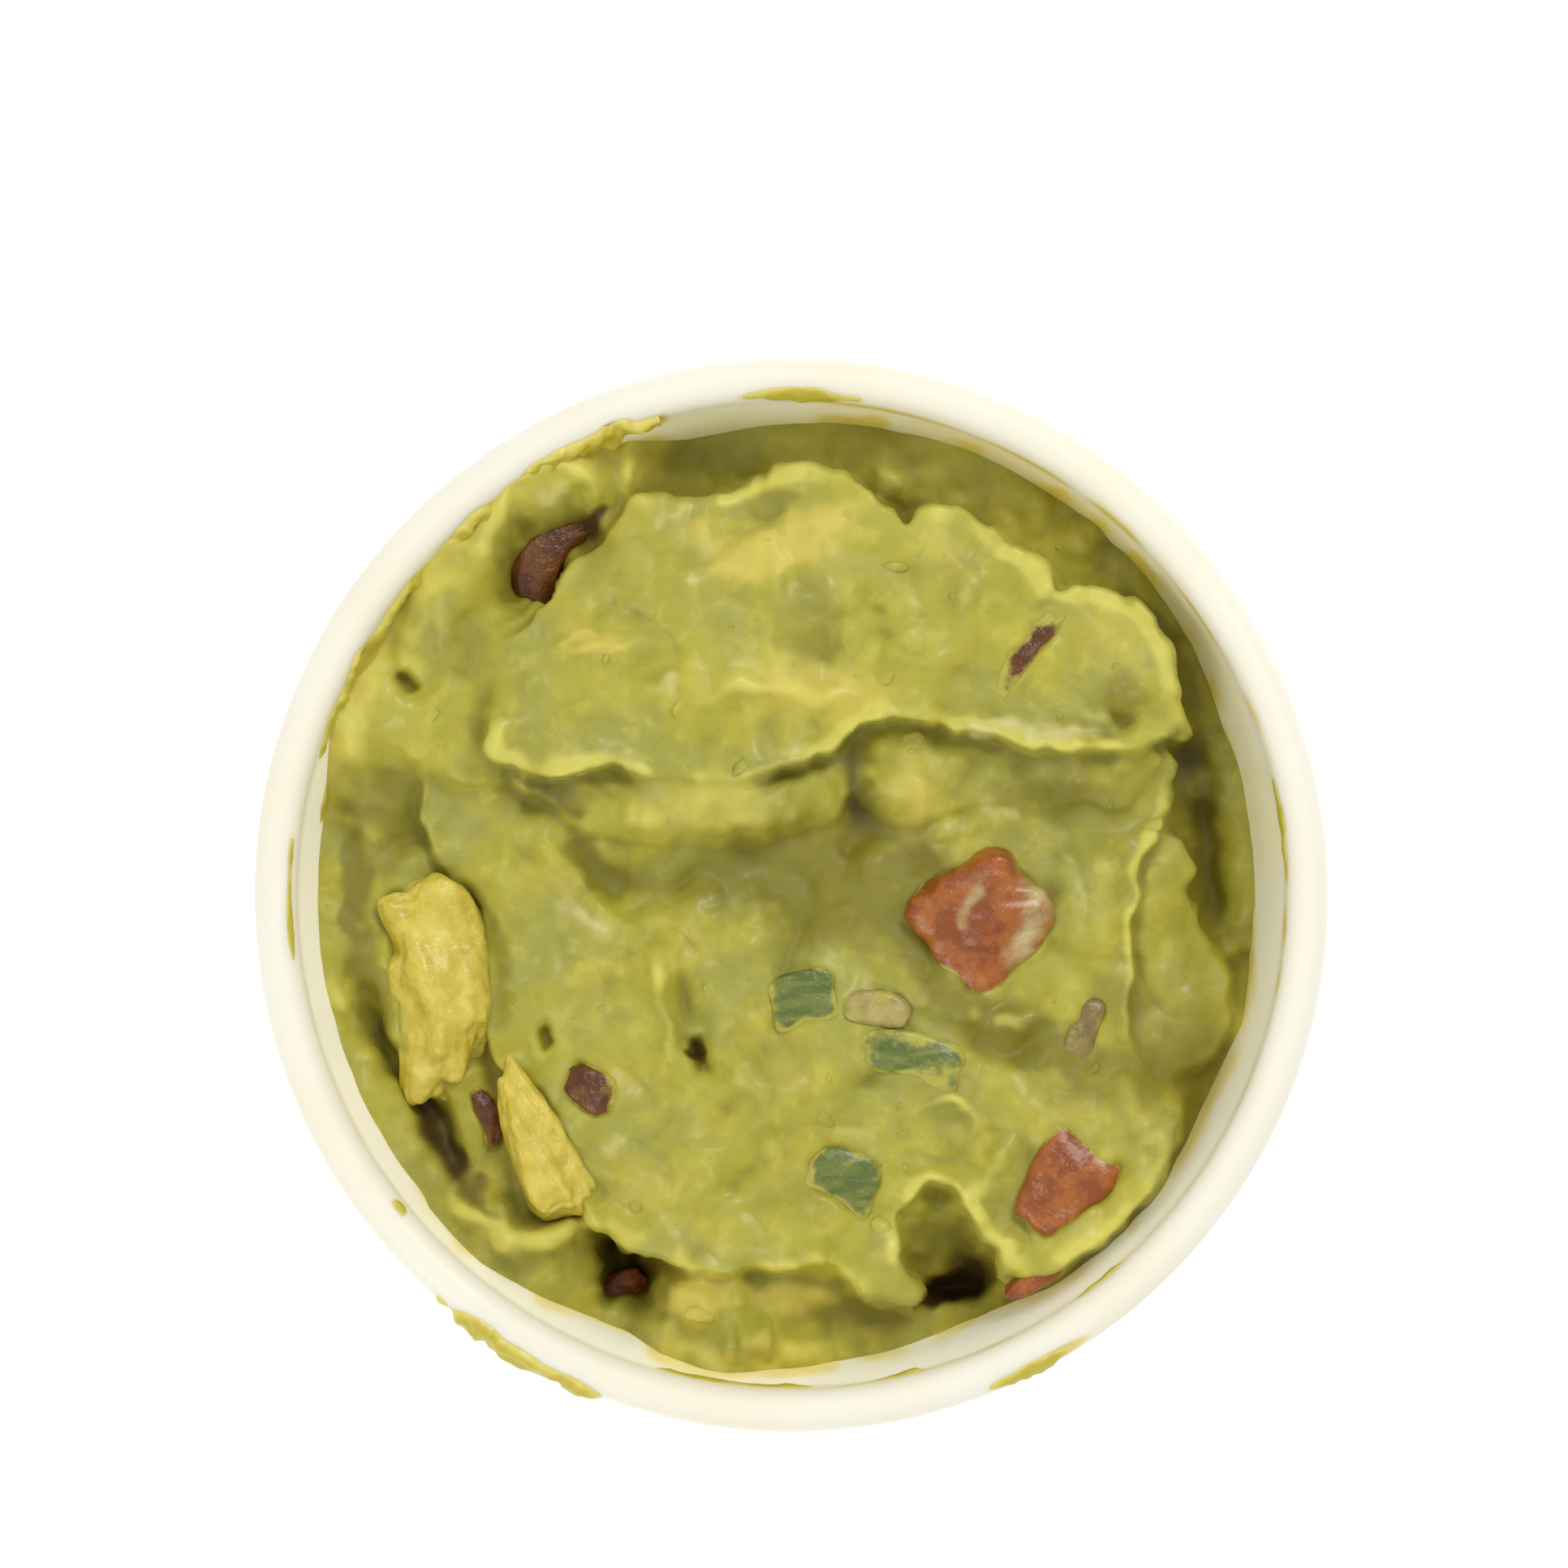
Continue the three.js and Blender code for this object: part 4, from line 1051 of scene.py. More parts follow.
@dataclass
class PaperCup:
    """A tapered paper cup with a rolled rim, a glued side seam and a base set up inside its foot."""

    paper: float = 0.45
    taper: float = 0.113
    roll: float = 1.5
    base_level: float = 5.2
    base_round: float = 0.4
    foot_round: float = 0.3
    gap: float = 0.12
    segments: int = 360
    seam_angle: float = 62.0
    seam_width: float = 7.0
    seam_step: float = 0.22
    bead: float = 0.1
    # Side that the light comes from, in degrees; the inner wall's painted light is least on that side
    light_from_angle: float = 50.0

    def __post_init__(self) -> None:
        """Take the height and the radii from the solid."""
        low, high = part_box("cup_side")
        self.height = high[2] / MM
        self.roll_radius = (high[1] - low[1]) / 2 / MM - self.roll
        self.roll_level = self.height - self.roll
        self.mouth = self.roll_radius - self.roll

    def wall(self, level: Array | float) -> Array | float:
        """Inner radius of the wall at a height."""
        return self.mouth - self.taper * np.maximum(self.roll_level - level, 0)

    def surface(self, angle: Array, along: Array) -> tuple[Array, Array]:
        """A place on the cup's inside, over the rim and down the outside.

        Args:
            angle: Angle round the cup, in degrees.
            along: Millimetres over the roll from the wall's top edge; below 0 it is down the inner wall.

        Returns:
            Points and outward normals, as arrays whose last axis is x, y, z.
        """
        turn = np.radians(angle)
        bend = math.pi - np.maximum(along, 0) / self.roll
        down = np.minimum(along, 0)
        radius = self.roll_radius + self.roll * np.cos(bend) + self.taper * down
        level = self.roll_level + self.roll * np.sin(bend) + down
        out = np.where(along < 0, -1.0, np.cos(bend))
        rise = np.where(along < 0, self.taper, np.sin(bend))
        point = np.stack([radius * np.cos(turn), radius * np.sin(turn), level], -1)
        normal = np.stack([out * np.cos(turn), out * np.sin(turn), rise], -1)
        return point, normal

    def painted_glow(self, points: Array) -> Array:
        """Painted light: how brightly the inner wall glows, in place of light through the paper: none outside
        the cup, and least on the side that the light comes from.

        Args:
            points: Places on the cup in millimetres.

        Returns:
            A share for each, from 0 to 1.
        """
        x, y, z = points.T
        inside = (np.hypot(x, y) < self.wall(z) + 0.1) & (z > 20)
        side = 0.5 - 0.5 * np.cos(np.arctan2(y, x) - math.radians(self.light_from_angle))
        return inside * side * smooth_step(self.roll_level + 0.6, self.roll_level - 1.2, z)

    def _side_profile(self) -> Array:
        """Radius and height round the section of the side: outside with a bead, roll, inside and hem.

        Returns:
            One row for each corner.
        """
        wall_levels = np.linspace(0.35, self.roll_level - 0.75, 28)
        bead_level = self.base_level + 0.2
        outer = [(self.wall(z) + self.paper + self.bead * math.exp(-(((z - bead_level) / 0.5) ** 2)), z)
                 for z in wall_levels]
        bends = np.radians(np.linspace(-138, 180, 34))
        roll = [(self.roll_radius + self.roll * math.cos(bend), self.roll_level + self.roll * math.sin(bend))
                for bend in bends]
        upper = np.linspace(self.roll_level - 0.4, self.roll_level - 15, 34)
        inner = [(self.wall(z), z) for z in [*upper, *np.linspace(self.roll_level - 18, self.paper, 9)]]
        fold = self.paper + 2 * self.gap
        hem_top = self.base_level - 1.0
        rows = ((self.paper, fold, self.paper), (hem_top, fold, hem_top),
                (hem_top, fold + self.paper, hem_top), (0, fold + self.paper - 0.1, 0.12),
                (0, fold + self.paper - self.foot_round, 0), (0, self.foot_round - self.paper, 0),
                (0, 0.06 - self.paper, 0.1))
        hem = [(self.wall(at) - inset, level) for at, inset, level in rows]
        return np.array(outer + roll + inner + hem)

    def _base_profile(self) -> Array:
        """Radius and height along the section of the base, from its middle below to its middle above.

        Returns:
            One row for each corner.
        """
        under = self.base_level - self.paper
        foot = self.paper + self.gap
        rows = ((under, self.paper + self.foot_round, 0), (under, self.paper, self.foot_round),
                (foot, self.paper, 0), (foot, 0, 0),
                (self.base_level, 0, self.base_round), (self.base_level, self.base_round, 0))
        ring = [(self.wall(at) - self.gap - inset, at - drop) for at, inset, drop in rows]
        shares = (0.02, 0.35, 0.7)
        below = [(share * ring[0][0], under) for share in shares]
        above = [(share * ring[-1][0], self.base_level) for share in reversed(shares)]
        return np.array(below + ring + above)

    def _turn(self, profile: Array, seam: bool = False) -> Array:
        """Turn a section round the axis.

        Args:
            profile: Radius and height along the section.
            seam: Whether the outside steps out where the paper overlaps.

        Returns:
            The vertices, one section after another.
        """
        turn = np.linspace(0, math.tau, self.segments, endpoint=False)[:, None]
        radius, level = profile.T
        if seam:
            outside = (radius > self.wall(level) + 0.5 * self.paper) & (level < self.roll_level - 1)
            span = self.seam_width / self.mouth
            away = (turn - math.radians(self.seam_angle)) % math.tau
            step = smooth_step(0, 0.02, away) * (1 - smooth_step(0.7 * span, span, away)) * self.seam_step
            radius = radius + step * outside
        x = radius * np.cos(turn)
        return np.stack([x, radius * np.sin(turn), np.broadcast_to(level, x.shape)], -1).reshape(-1, 3)

    def build(self, finish: PaperFinish, stain_and_shade: Callable[[Array], Array]) -> None:
        """Make the cup's side and base.

        Args:
            finish: The paper's finish.
            stain_and_shade: How stained the paper is at places, with painted shade on the inner wall, from 0
                to 1.
        """
        material = finish.material()
        profile = self._side_profile()
        points = self._turn(profile, seam=True)
        faces = grid_faces(self.segments, len(profile), ring=True, tube=True)
        values = {"stain_and_shade": stain_and_shade(points), "painted_glow": self.painted_glow(points)}
        side = make_piece("cup_paper_side", points, faces, material, values)
        belongs(side, "paper", "cup_side")
        profile = self._base_profile()
        points = self._turn(profile)
        numbers = np.arange(len(points)).reshape(self.segments, -1)
        faces = grid_faces(*numbers.shape, ring=True).tolist()
        faces += [numbers[::-1, 0].tolist(), numbers[:, -1].tolist()]
        values = dict.fromkeys(values, np.zeros(len(points)))
        base = make_piece("cup_paper_base", points, faces, material, values, smooth=False)
        belongs(base, "paper", "cup_base")


# Pieces in the mash


@dataclass(frozen=True)
class FoodPiece:
    """A block with rounded corners, narrowed along its length and bent, sunk in the mash."""

    node: str
    slot: str
    bit: Bit
    at: Point2
    size: tuple[float, float, float]
    turn: float
    squareness: float
    pitch: float = 0.0
    roll: float = 0.0
    taper: float = 0.0
    bend: float = 0.0
    rough: float = 0.06
    cuts: int = 11
    crumble: float = 0.0
    collar: float = 0.12
    bare: bool = False
    shine: tuple[Stroke, ...] = ()

    def footprint(self, x: Array, y: Array) -> Array:
        """How far places lie from its edge seen from above.

        Args:
            x, y: Places in millimetres.

        Returns:
            Distances in millimetres, below 0 inside it.
        """
        u, v = turned(x, y, self.at, self.turn)
        u = u / (self.size[0] / 2)
        near = np.clip(u, -1, 1)
        v = v / (self.size[1] / 2) + self.bend * near * near * self.size[0] / self.size[1]
        v = v / (1 + self.taper * near)
        k = self.squareness
        reach = (np.abs(u) ** k + np.abs(v) ** k) ** (1 / k)
        return (reach - 1) * min(self.size[:2]) / 2

    def _waves(self, corner: Array, rate: float, phase: float, seed: int) -> Array:
        """Waves over the piece in five directions, which its name's length and the seed choose.

        Args:
            corner: Its vertices before it is sized.
            rate: How close the waves are.
            phase: How far they are shifted from each other.
            seed: A number that chooses them.

        Returns:
            One number for each vertex.
        """
        directions = np.random.default_rng(len(self.node) + seed).normal(size=(5, 3))
        return sum(np.sin(corner @ direction * rate + number * phase)
                   for number, direction in enumerate(directions))[:, None]

    def _block(self) -> tuple[Array, list[list[int]]]:
        """Shape it.

        Returns:
            Its vertices about its middle, in millimetres, and its faces.
        """
        shape = bmesh.new()
        bmesh.ops.create_cube(shape, size=2)
        bmesh.ops.subdivide_edges(shape, edges=shape.edges, cuts=self.cuts, use_grid_fill=True)
        corner = np.array([vertex.co for vertex in shape.verts])
        faces = [[vertex.index for vertex in face.verts] for face in shape.faces]
        shape.free()
        k = self.squareness
        corner *= ((np.abs(corner) ** k).sum(1) ** (-1 / k))[:, None]
        wave = self._waves(corner, 2.6, 1.7, 0) / 2.2 + self._waves(corner, 6, 1, 9) / 5
        corner *= 1 + self.rough * wave + self.crumble * self._waves(corner, 13, 1, 5)
        corner[:, 1] *= 1 + self.taper * corner[:, 0]
        corner[:, 1] -= self.bend * corner[:, 0] ** 2 * self.size[0] / self.size[1]
        turns = Euler([math.radians(angle) for angle in (self.roll, self.pitch, self.turn)]).to_matrix()
        return (corner * np.array(self.size) / 2) @ np.array(turns).T, faces

    def build(self, relief: "Relief") -> None:
        """Make it where its solid is.

        Args:
            relief: The mash round it.
        """
        points, faces = self._block()
        low, high = (np.array(end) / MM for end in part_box(self.node))
        points += (low + high) / 2 - (points.min(0) + points.max(0)) / 2
        x, y, z = points.T
        buried = 1 - smooth_step(-0.1, 0.9, z - relief.at(x, y))
        torn_x, torn_y = (side + 0.45 * bumps(x, y, 1.1, shift) for side, shift in ((x, 3), (y, 9)))
        # pale holds the painted highlights of its shine strokes
        values = {"edge": buried * (not self.bare), "pale": total(self.shine, torn_x, torn_y)}
        piece = make_piece(self.node + "_cut", points, faces, self.bit.value.material(), values)
        belongs(piece, self.slot, self.node)


# Painted highlights on the large tomato: a glint along its pulp and a sheen down its wet right side
TOMATO_SHINE = (
    Stroke("pulp", 0.7, 0.8, ((13.8, 2), (12.7, -0.2), (12.2, -1.6), (13, -2.6))),
    Stroke("wet side", 0.8, 1.5, ((15.6, 3.2), (17.6, 1.2), (17.4, -2), (16.4, -4.2), (15.4, -5.8))),
)

# The length of a node's name chooses the waves of its piece
PIECES = (
    FoodPiece("tomato_dice_large", "tomato", Bit.TOMATO, (13.8, -1.7), (9, 8.8, 6.5), 36, 4.5, -8, 10, -0.14,
              cuts=31, collar=0.4, shine=TOMATO_SHINE),
    FoodPiece("tomato_dice_front", "tomato", Bit.TOMATO, (19.4, -21), (7.4, 5.4, 4.5), 50, 5, 4, -6, 0.35,
              rough=0.05, cuts=15),
    FoodPiece("tomato_sliver", "tomato", Bit.TOMATO, (17.4, -27.6), (4.4, 1.6, 2.2), 28, 3),
    FoodPiece("red_onion_pit", "red_onion", Bit.RED_ONION, (-17.5, 24.4), (8.4, 3.2, 2), 52, 4, 0, 12, -0.35,
              0.5, collar=0, bare=True),
    FoodPiece("red_onion_top", "red_onion", Bit.RED_ONION, (16.5, 17.1), (7.2, 1.9, 1.6), 53, 4, taper=0.1,
              bend=0.12),
    FoodPiece("red_onion_left", "red_onion", Bit.RED_ONION, (-14.4, -14), (4.3, 3.3, 2.4), -30, 3),
    FoodPiece("red_onion_low", "red_onion", Bit.RED_ONION, (-21.8, -16), (4.6, 1.9, 2), -72, 3, bend=0.2),
    FoodPiece("red_onion_deep", "red_onion", Bit.DEEP_ONION, (-12.4, -28.8), (3.6, 2.4, 1.8), 20, 3, collar=0,
              bare=True),
    FoodPiece("onion_pale", "pale_onion", Bit.PALE_ONION, (6.2, -8.1), (4.6, 2.4, 1.6), -12, 4, bend=0.15,
              collar=0.05, bare=True),
    FoodPiece("onion_mauve", "pale_onion", Bit.MAUVE_ONION, (20.9, -9.6), (4.6, 2.3, 1.5), 70, 4, bend=0.15,
              collar=0.05, bare=True),
    FoodPiece("pepper_green_left", "green_pepper", Bit.PEPPER, (0.9, -7.4), (4.8, 4, 1.4), 12, 5, bend=0.12),
    FoodPiece("pepper_green_middle", "green_pepper", Bit.PEPPER, (8.7, -11.6), (7.4, 3.3, 1.4), -14, 5,
              taper=0.1, bend=0.1),
    FoodPiece("pepper_green_front", "green_pepper", Bit.PEPPER, (3.8, -20.4), (5.2, 4, 1.4), -25, 4,
              taper=0.15, bend=0.1),
    FoodPiece("avocado_chunk_left", "avocado", Bit.AVOCADO, (-25.3, -6.6), (15, 7, 6.5), -81, 2.8, 0, -14,
              -0.12, 0.15, rough=0.14, crumble=0.012, collar=0.45, cuts=31),
    FoodPiece("avocado_chunk_front", "avocado", Bit.AVOCADO, (-18, -17.5), (11.4, 4.2, 6), -66, 2.8,
              taper=0.3, bend=-0.05, rough=0.13, crumble=0.012, collar=0.4, cuts=25),
)


# The mash


@dataclass
class Relief:
    """The mash's surface as heights on a fine square grid, with what its finish follows.

    All is in millimetres. Layers start with a rise and a size. Those of the mash then have a shift, and
    those of the curds an angle in degrees.
    """

    spacing: float = 0.18
    reach: float = 37.5
    floor: float = 38.0
    blend: Point2 = (22.0, 33.0)
    merge: float = 0.7
    drift: tuple[Point2, ...] = ((0.45, 5.0), (0.34, 1.9), (0.12, 0.9))
    mash: tuple[tuple[float, float, int], ...] = ((0.5, 7.0, 0), (0.3, 3.2, 0))
    curds: tuple[tuple[float, float, float], ...] = ((0.9, 4.6, 31), (0.4, 2.6, 67), (0.1, 1.3, 12))
    lumps: int = 420
    smearing: float = 1.5
    room: float = 0.7
    lap: float = 0.6

    # What the finish follows, as the mesh stores it: painted highlight on crests, painted shade in hollows
    # and in pits and crevices, avocado yellow, painted shade patches and painted glints
    MARKS = ("crest", "hollow", "deep_shade", "yellow", "shade", "pale")

    def __post_init__(self) -> None:
        """Work out the grids."""
        axis = np.arange(-self.reach, self.reach + self.spacing / 2, self.spacing)
        x, y = np.meshgrid(axis, axis, indexing="ij")
        plain = self._shape(x, y)
        self._mark(plain, x, y)
        smooth = self._blurred(plain, 0.9)
        self.lift = np.clip(plain - smooth, -0.5, 0.8)
        self.slope_x, self.slope_y = np.gradient(smooth, self.spacing)
        self.height = self._with_pockets(plain, x, y)

    def _blurred(self, heights: Array, reach: float) -> Array:
        """Heights averaged over a reach in millimetres."""
        return blurred(heights, round(reach / self.spacing))

    def _mark(self, plain: Array, x: Array, y: Array) -> None:
        """Work out, from 0 to 1, what the mash's finish follows, painted highlights and painted shade among
        it.

        Args:
            plain: Heights without the pockets.
            x, y: Places in millimetres.
        """
        soft, wide, broad = (self._blurred(plain, reach) for reach in (0.7, 2.2, 3.6))
        places = (x + mottle(x, y, (0.7, 1.7, 41), (0.35, 0.8, 43)),
                  y + mottle(x, y, (0.7, 1.7, 47), (0.35, 0.8, 53)))
        yellow, self.shade, self.pale, film, dark, lit = (
            np.clip(total(features, *places), 0, 1) for features in (YELLOW, SHADE, PAINTED_GLINTS, FILM, DARK, LIT))
        self.yellow = np.clip(yellow + 0.55 * film, 0, 1)
        # Painted highlight: raised places, and the edges that catch the light, are painted paler; so are the
        # film patches
        ragged = np.clip(0.55 + mottle(x, y, (0.9, 1.5, 29), (0.5, 3.1, 11)), 0, 1)
        rise = np.clip((plain - soft) / 0.6, 0, 1) + 0.35 * np.clip((plain - wide) / 1.8, 0, 1)
        crest = rise * (0.25 + 0.75 * self.bright) * (0.3 + 0.8 * ragged)
        self.crest = np.clip(crest + 0.45 * self.bright ** 4 * ragged + film * (0.3 + 0.7 * ragged), 0, 1)
        # Painted shade in hollows, weaker where avocado or film shows and where the light still reaches
        hollow = np.clip((soft - plain) / 0.9, 0, 0.5) + np.clip((wide - plain) / 3.0, 0, 0.8)
        self.hollow = hollow * (1 - 0.7 * np.maximum(self.yellow, film)) * (1 - lit)
        # Painted shade in low places, less where the light still reaches, and darkest in the crevices
        self.deep_shade = np.clip((broad - plain) / 5.5, 0, 1) * (1 - lit) + dark

    def _shape(self, x: Array, y: Array) -> Array:
        """Join the folds smoothly, with lumps, ridges, pits and mash on them.

        Args:
            x, y: Places in millimetres.

        Returns:
            The heights.
        """
        near_wall = smooth_step(*self.blend, np.hypot(x, y))
        height = wall_line(np.degrees(np.arctan2(y, x))) * near_wall + self.floor * (1 - near_wall)
        places = [side + sum(rise * bumps(x, y, size, shift) for rise, size in self.drift)
                  for side, shift in ((x, 31), (y, 57))]
        self.bright = np.clip(total(BRIGHT, *places), 0, 1)
        for fold in FOLDS:
            other = fold.height(*places, self.bright)
            share = np.clip(0.5 + 0.5 * (height - other) / self.merge, 0, 1)
            height = other * (1 - share) + height * share + self.merge * share * (1 - share)
        height = height + total(LUMPS + STROKES, *places)
        for patch in SOFT:
            share = patch.rise * patch.share(x, y)
            height = height * (1 - share) + self._blurred(height, self.smearing) * share
        height = height + mottle(x, y, *self.mash)
        curl_x = x + 0.8 * bumps(x, y, 3.0, 71)
        curl_y = y + 0.8 * bumps(x, y, 3.0, 83)
        for rise, size, angle in self.curds:
            u, v = turned(curl_x, curl_y, (0, 0), -angle)
            height = height + rise * (np.abs(bumps(u, v, size, 13)) - 0.4)
        self._add_lumps(height)
        return height

    def _with_pockets(self, height: Array, x: Array, y: Array) -> Array:
        """Make room for the pieces, over whose edges the mash laps here and there.

        Args:
            height: Heights without it.
            x, y: Places in millimetres.

        Returns:
            The heights.
        """
        ragged = np.clip(0.6 + mottle(x, y, (1.1, 1.6, 5), (0.4, 0.8, 9)), 0, 1.6)
        edge = 0.35 * bumps(x, y, 1.3, 25)
        for piece in PIECES:
            away = piece.footprint(x, y)
            height = height + piece.collar * ragged * np.exp(-(((away + 0.1) / self.lap) ** 2))
            height = height - self.room * (1 - smooth_step(-0.95, 0.0, away + edge))
        return height

    def _add_lumps(self, height: Array) -> None:
        """Raise small soft lumps at scattered places of a grid of heights.

        Args:
            height: The grid, which is changed.
        """
        chance = np.random.default_rng(SEED)
        for _ in range(self.lumps):
            turn, far = chance.uniform(0, math.tau), self.reach * math.sqrt(chance.uniform(0, 0.8))
            size = chance.uniform(0.35, 1.1)
            rise = size * chance.uniform(0.2, 0.42)
            half = (size * chance.uniform(1.0, 1.7), size)
            centre = (far * math.cos(turn), far * math.sin(turn))
            lump = Lump("curd", rise, centre, half, chance.uniform(0, 180))
            i, j = (int((place + self.reach) / self.spacing) for place in lump.centre)
            wide = int(4 * size / self.spacing) + 1
            rows, columns = np.mgrid[max(i - wide, 0):min(i + wide, len(height)),
                                     max(j - wide, 0):min(j + wide, len(height))]
            x, y = (rows * self.spacing - self.reach, columns * self.spacing - self.reach)
            height[rows, columns] += lump.rise * lump.share(x, y)

    def look_up(self, grid: Array, x: Array, y: Array) -> Array:
        """A grid's values at places.

        Args:
            grid: The grid.
            x, y: Places in millimetres.

        Returns:
            The values.
        """
        u, v = (np.clip((side + self.reach) / self.spacing, 0, len(grid) - 1.001) for side in (x, y))
        i = u.astype(int)
        j = v.astype(int)
        return blend_corners(lambda row, column: grid[row, column], i, j, u - i, v - j)

    def at(self, x: Array, y: Array) -> Array:
        """Height of the surface at places."""
        return self.look_up(self.height, x, y)

    def slope(self, x: Array, y: Array) -> tuple[Array, Array]:
        """How steeply the surface rises along x and y at places."""
        return self.look_up(self.slope_x, x, y), self.look_up(self.slope_y, x, y)


@dataclass
class Mash:
    """The guacamole: its surface drawn out to the wall, with overhanging lips, a side and a floor."""

    cup: PaperCup
    relief: Relief
    cells: int = 300
    into_wall: float = 0.15
    overhang: float = 0.32
    steepest: float = 2.5
    fit_rounds: int = 4
    foot_gap: Point2 = (0.2, 0.1)

    def _top(self) -> Array:
        """Lay out the vertices of the surface, row by row.

        Returns:
            The vertices.
        """
        share = np.linspace(-1, 1, self.cells + 1)
        v, u = np.meshgrid(share, share, indexing="ij")
        x = u * np.sqrt(1 - v * v / 2)
        y = v * np.sqrt(1 - u * u / 2)
        turn = np.arctan2(y, x)
        reach = np.full(x.shape, self.cup.mouth)
        for _ in range(self.fit_rounds):
            reach = self.cup.wall(self.relief.at(reach * np.cos(turn), reach * np.sin(turn))) + self.into_wall
        x = x * reach
        y = y * reach
        inner = 1 - smooth_step(0.93, 0.995, np.hypot(x, y) / reach)
        push = self.overhang * self.relief.look_up(self.relief.lift, x, y) * inner
        lean_x, lean_y = (np.clip(lean, -self.steepest, self.steepest) for lean in self.relief.slope(x, y))
        return np.stack([x - push * lean_x, y - push * lean_y, self.relief.at(x, y)], -1).reshape(-1, 3)

    def build(self, finish: MashFinish) -> bpy.types.Object:
        """Make it.

        Args:
            finish: The mash's finish.

        Returns:
            Its object.
        """
        top = self._top()
        numbers = np.arange(len(top)).reshape(self.cells + 1, -1)
        edge = np.concatenate([numbers[0, :-1], numbers[:-1, -1], numbers[-1, :0:-1], numbers[:0:-1, 0]])
        below = len(top) + np.arange(len(edge))
        x, y, _ = top[edge].T
        floor = self.cup.base_level + self.foot_gap[1]
        scale = (self.cup.wall(floor) - self.foot_gap[0]) / np.hypot(x, y)
        points = np.vstack([top, np.stack([x * scale, y * scale, np.full(len(edge), floor)], -1)])
        side = np.stack([edge, below, np.roll(below, -1), np.roll(edge, -1)], -1)
        faces = [*grid_faces(*numbers.shape)[:, ::-1].tolist(), *side.tolist(), below[::-1].tolist()]
        x, y, _ = points.T
        values = {name: self.relief.look_up(getattr(self.relief, name), x, y) for name in Relief.MARKS}
        piece = make_piece("guacamole_mash", points, faces, finish.material(), values)
        belongs(piece, "guacamole", "guacamole")
        return piece


# Crumbs


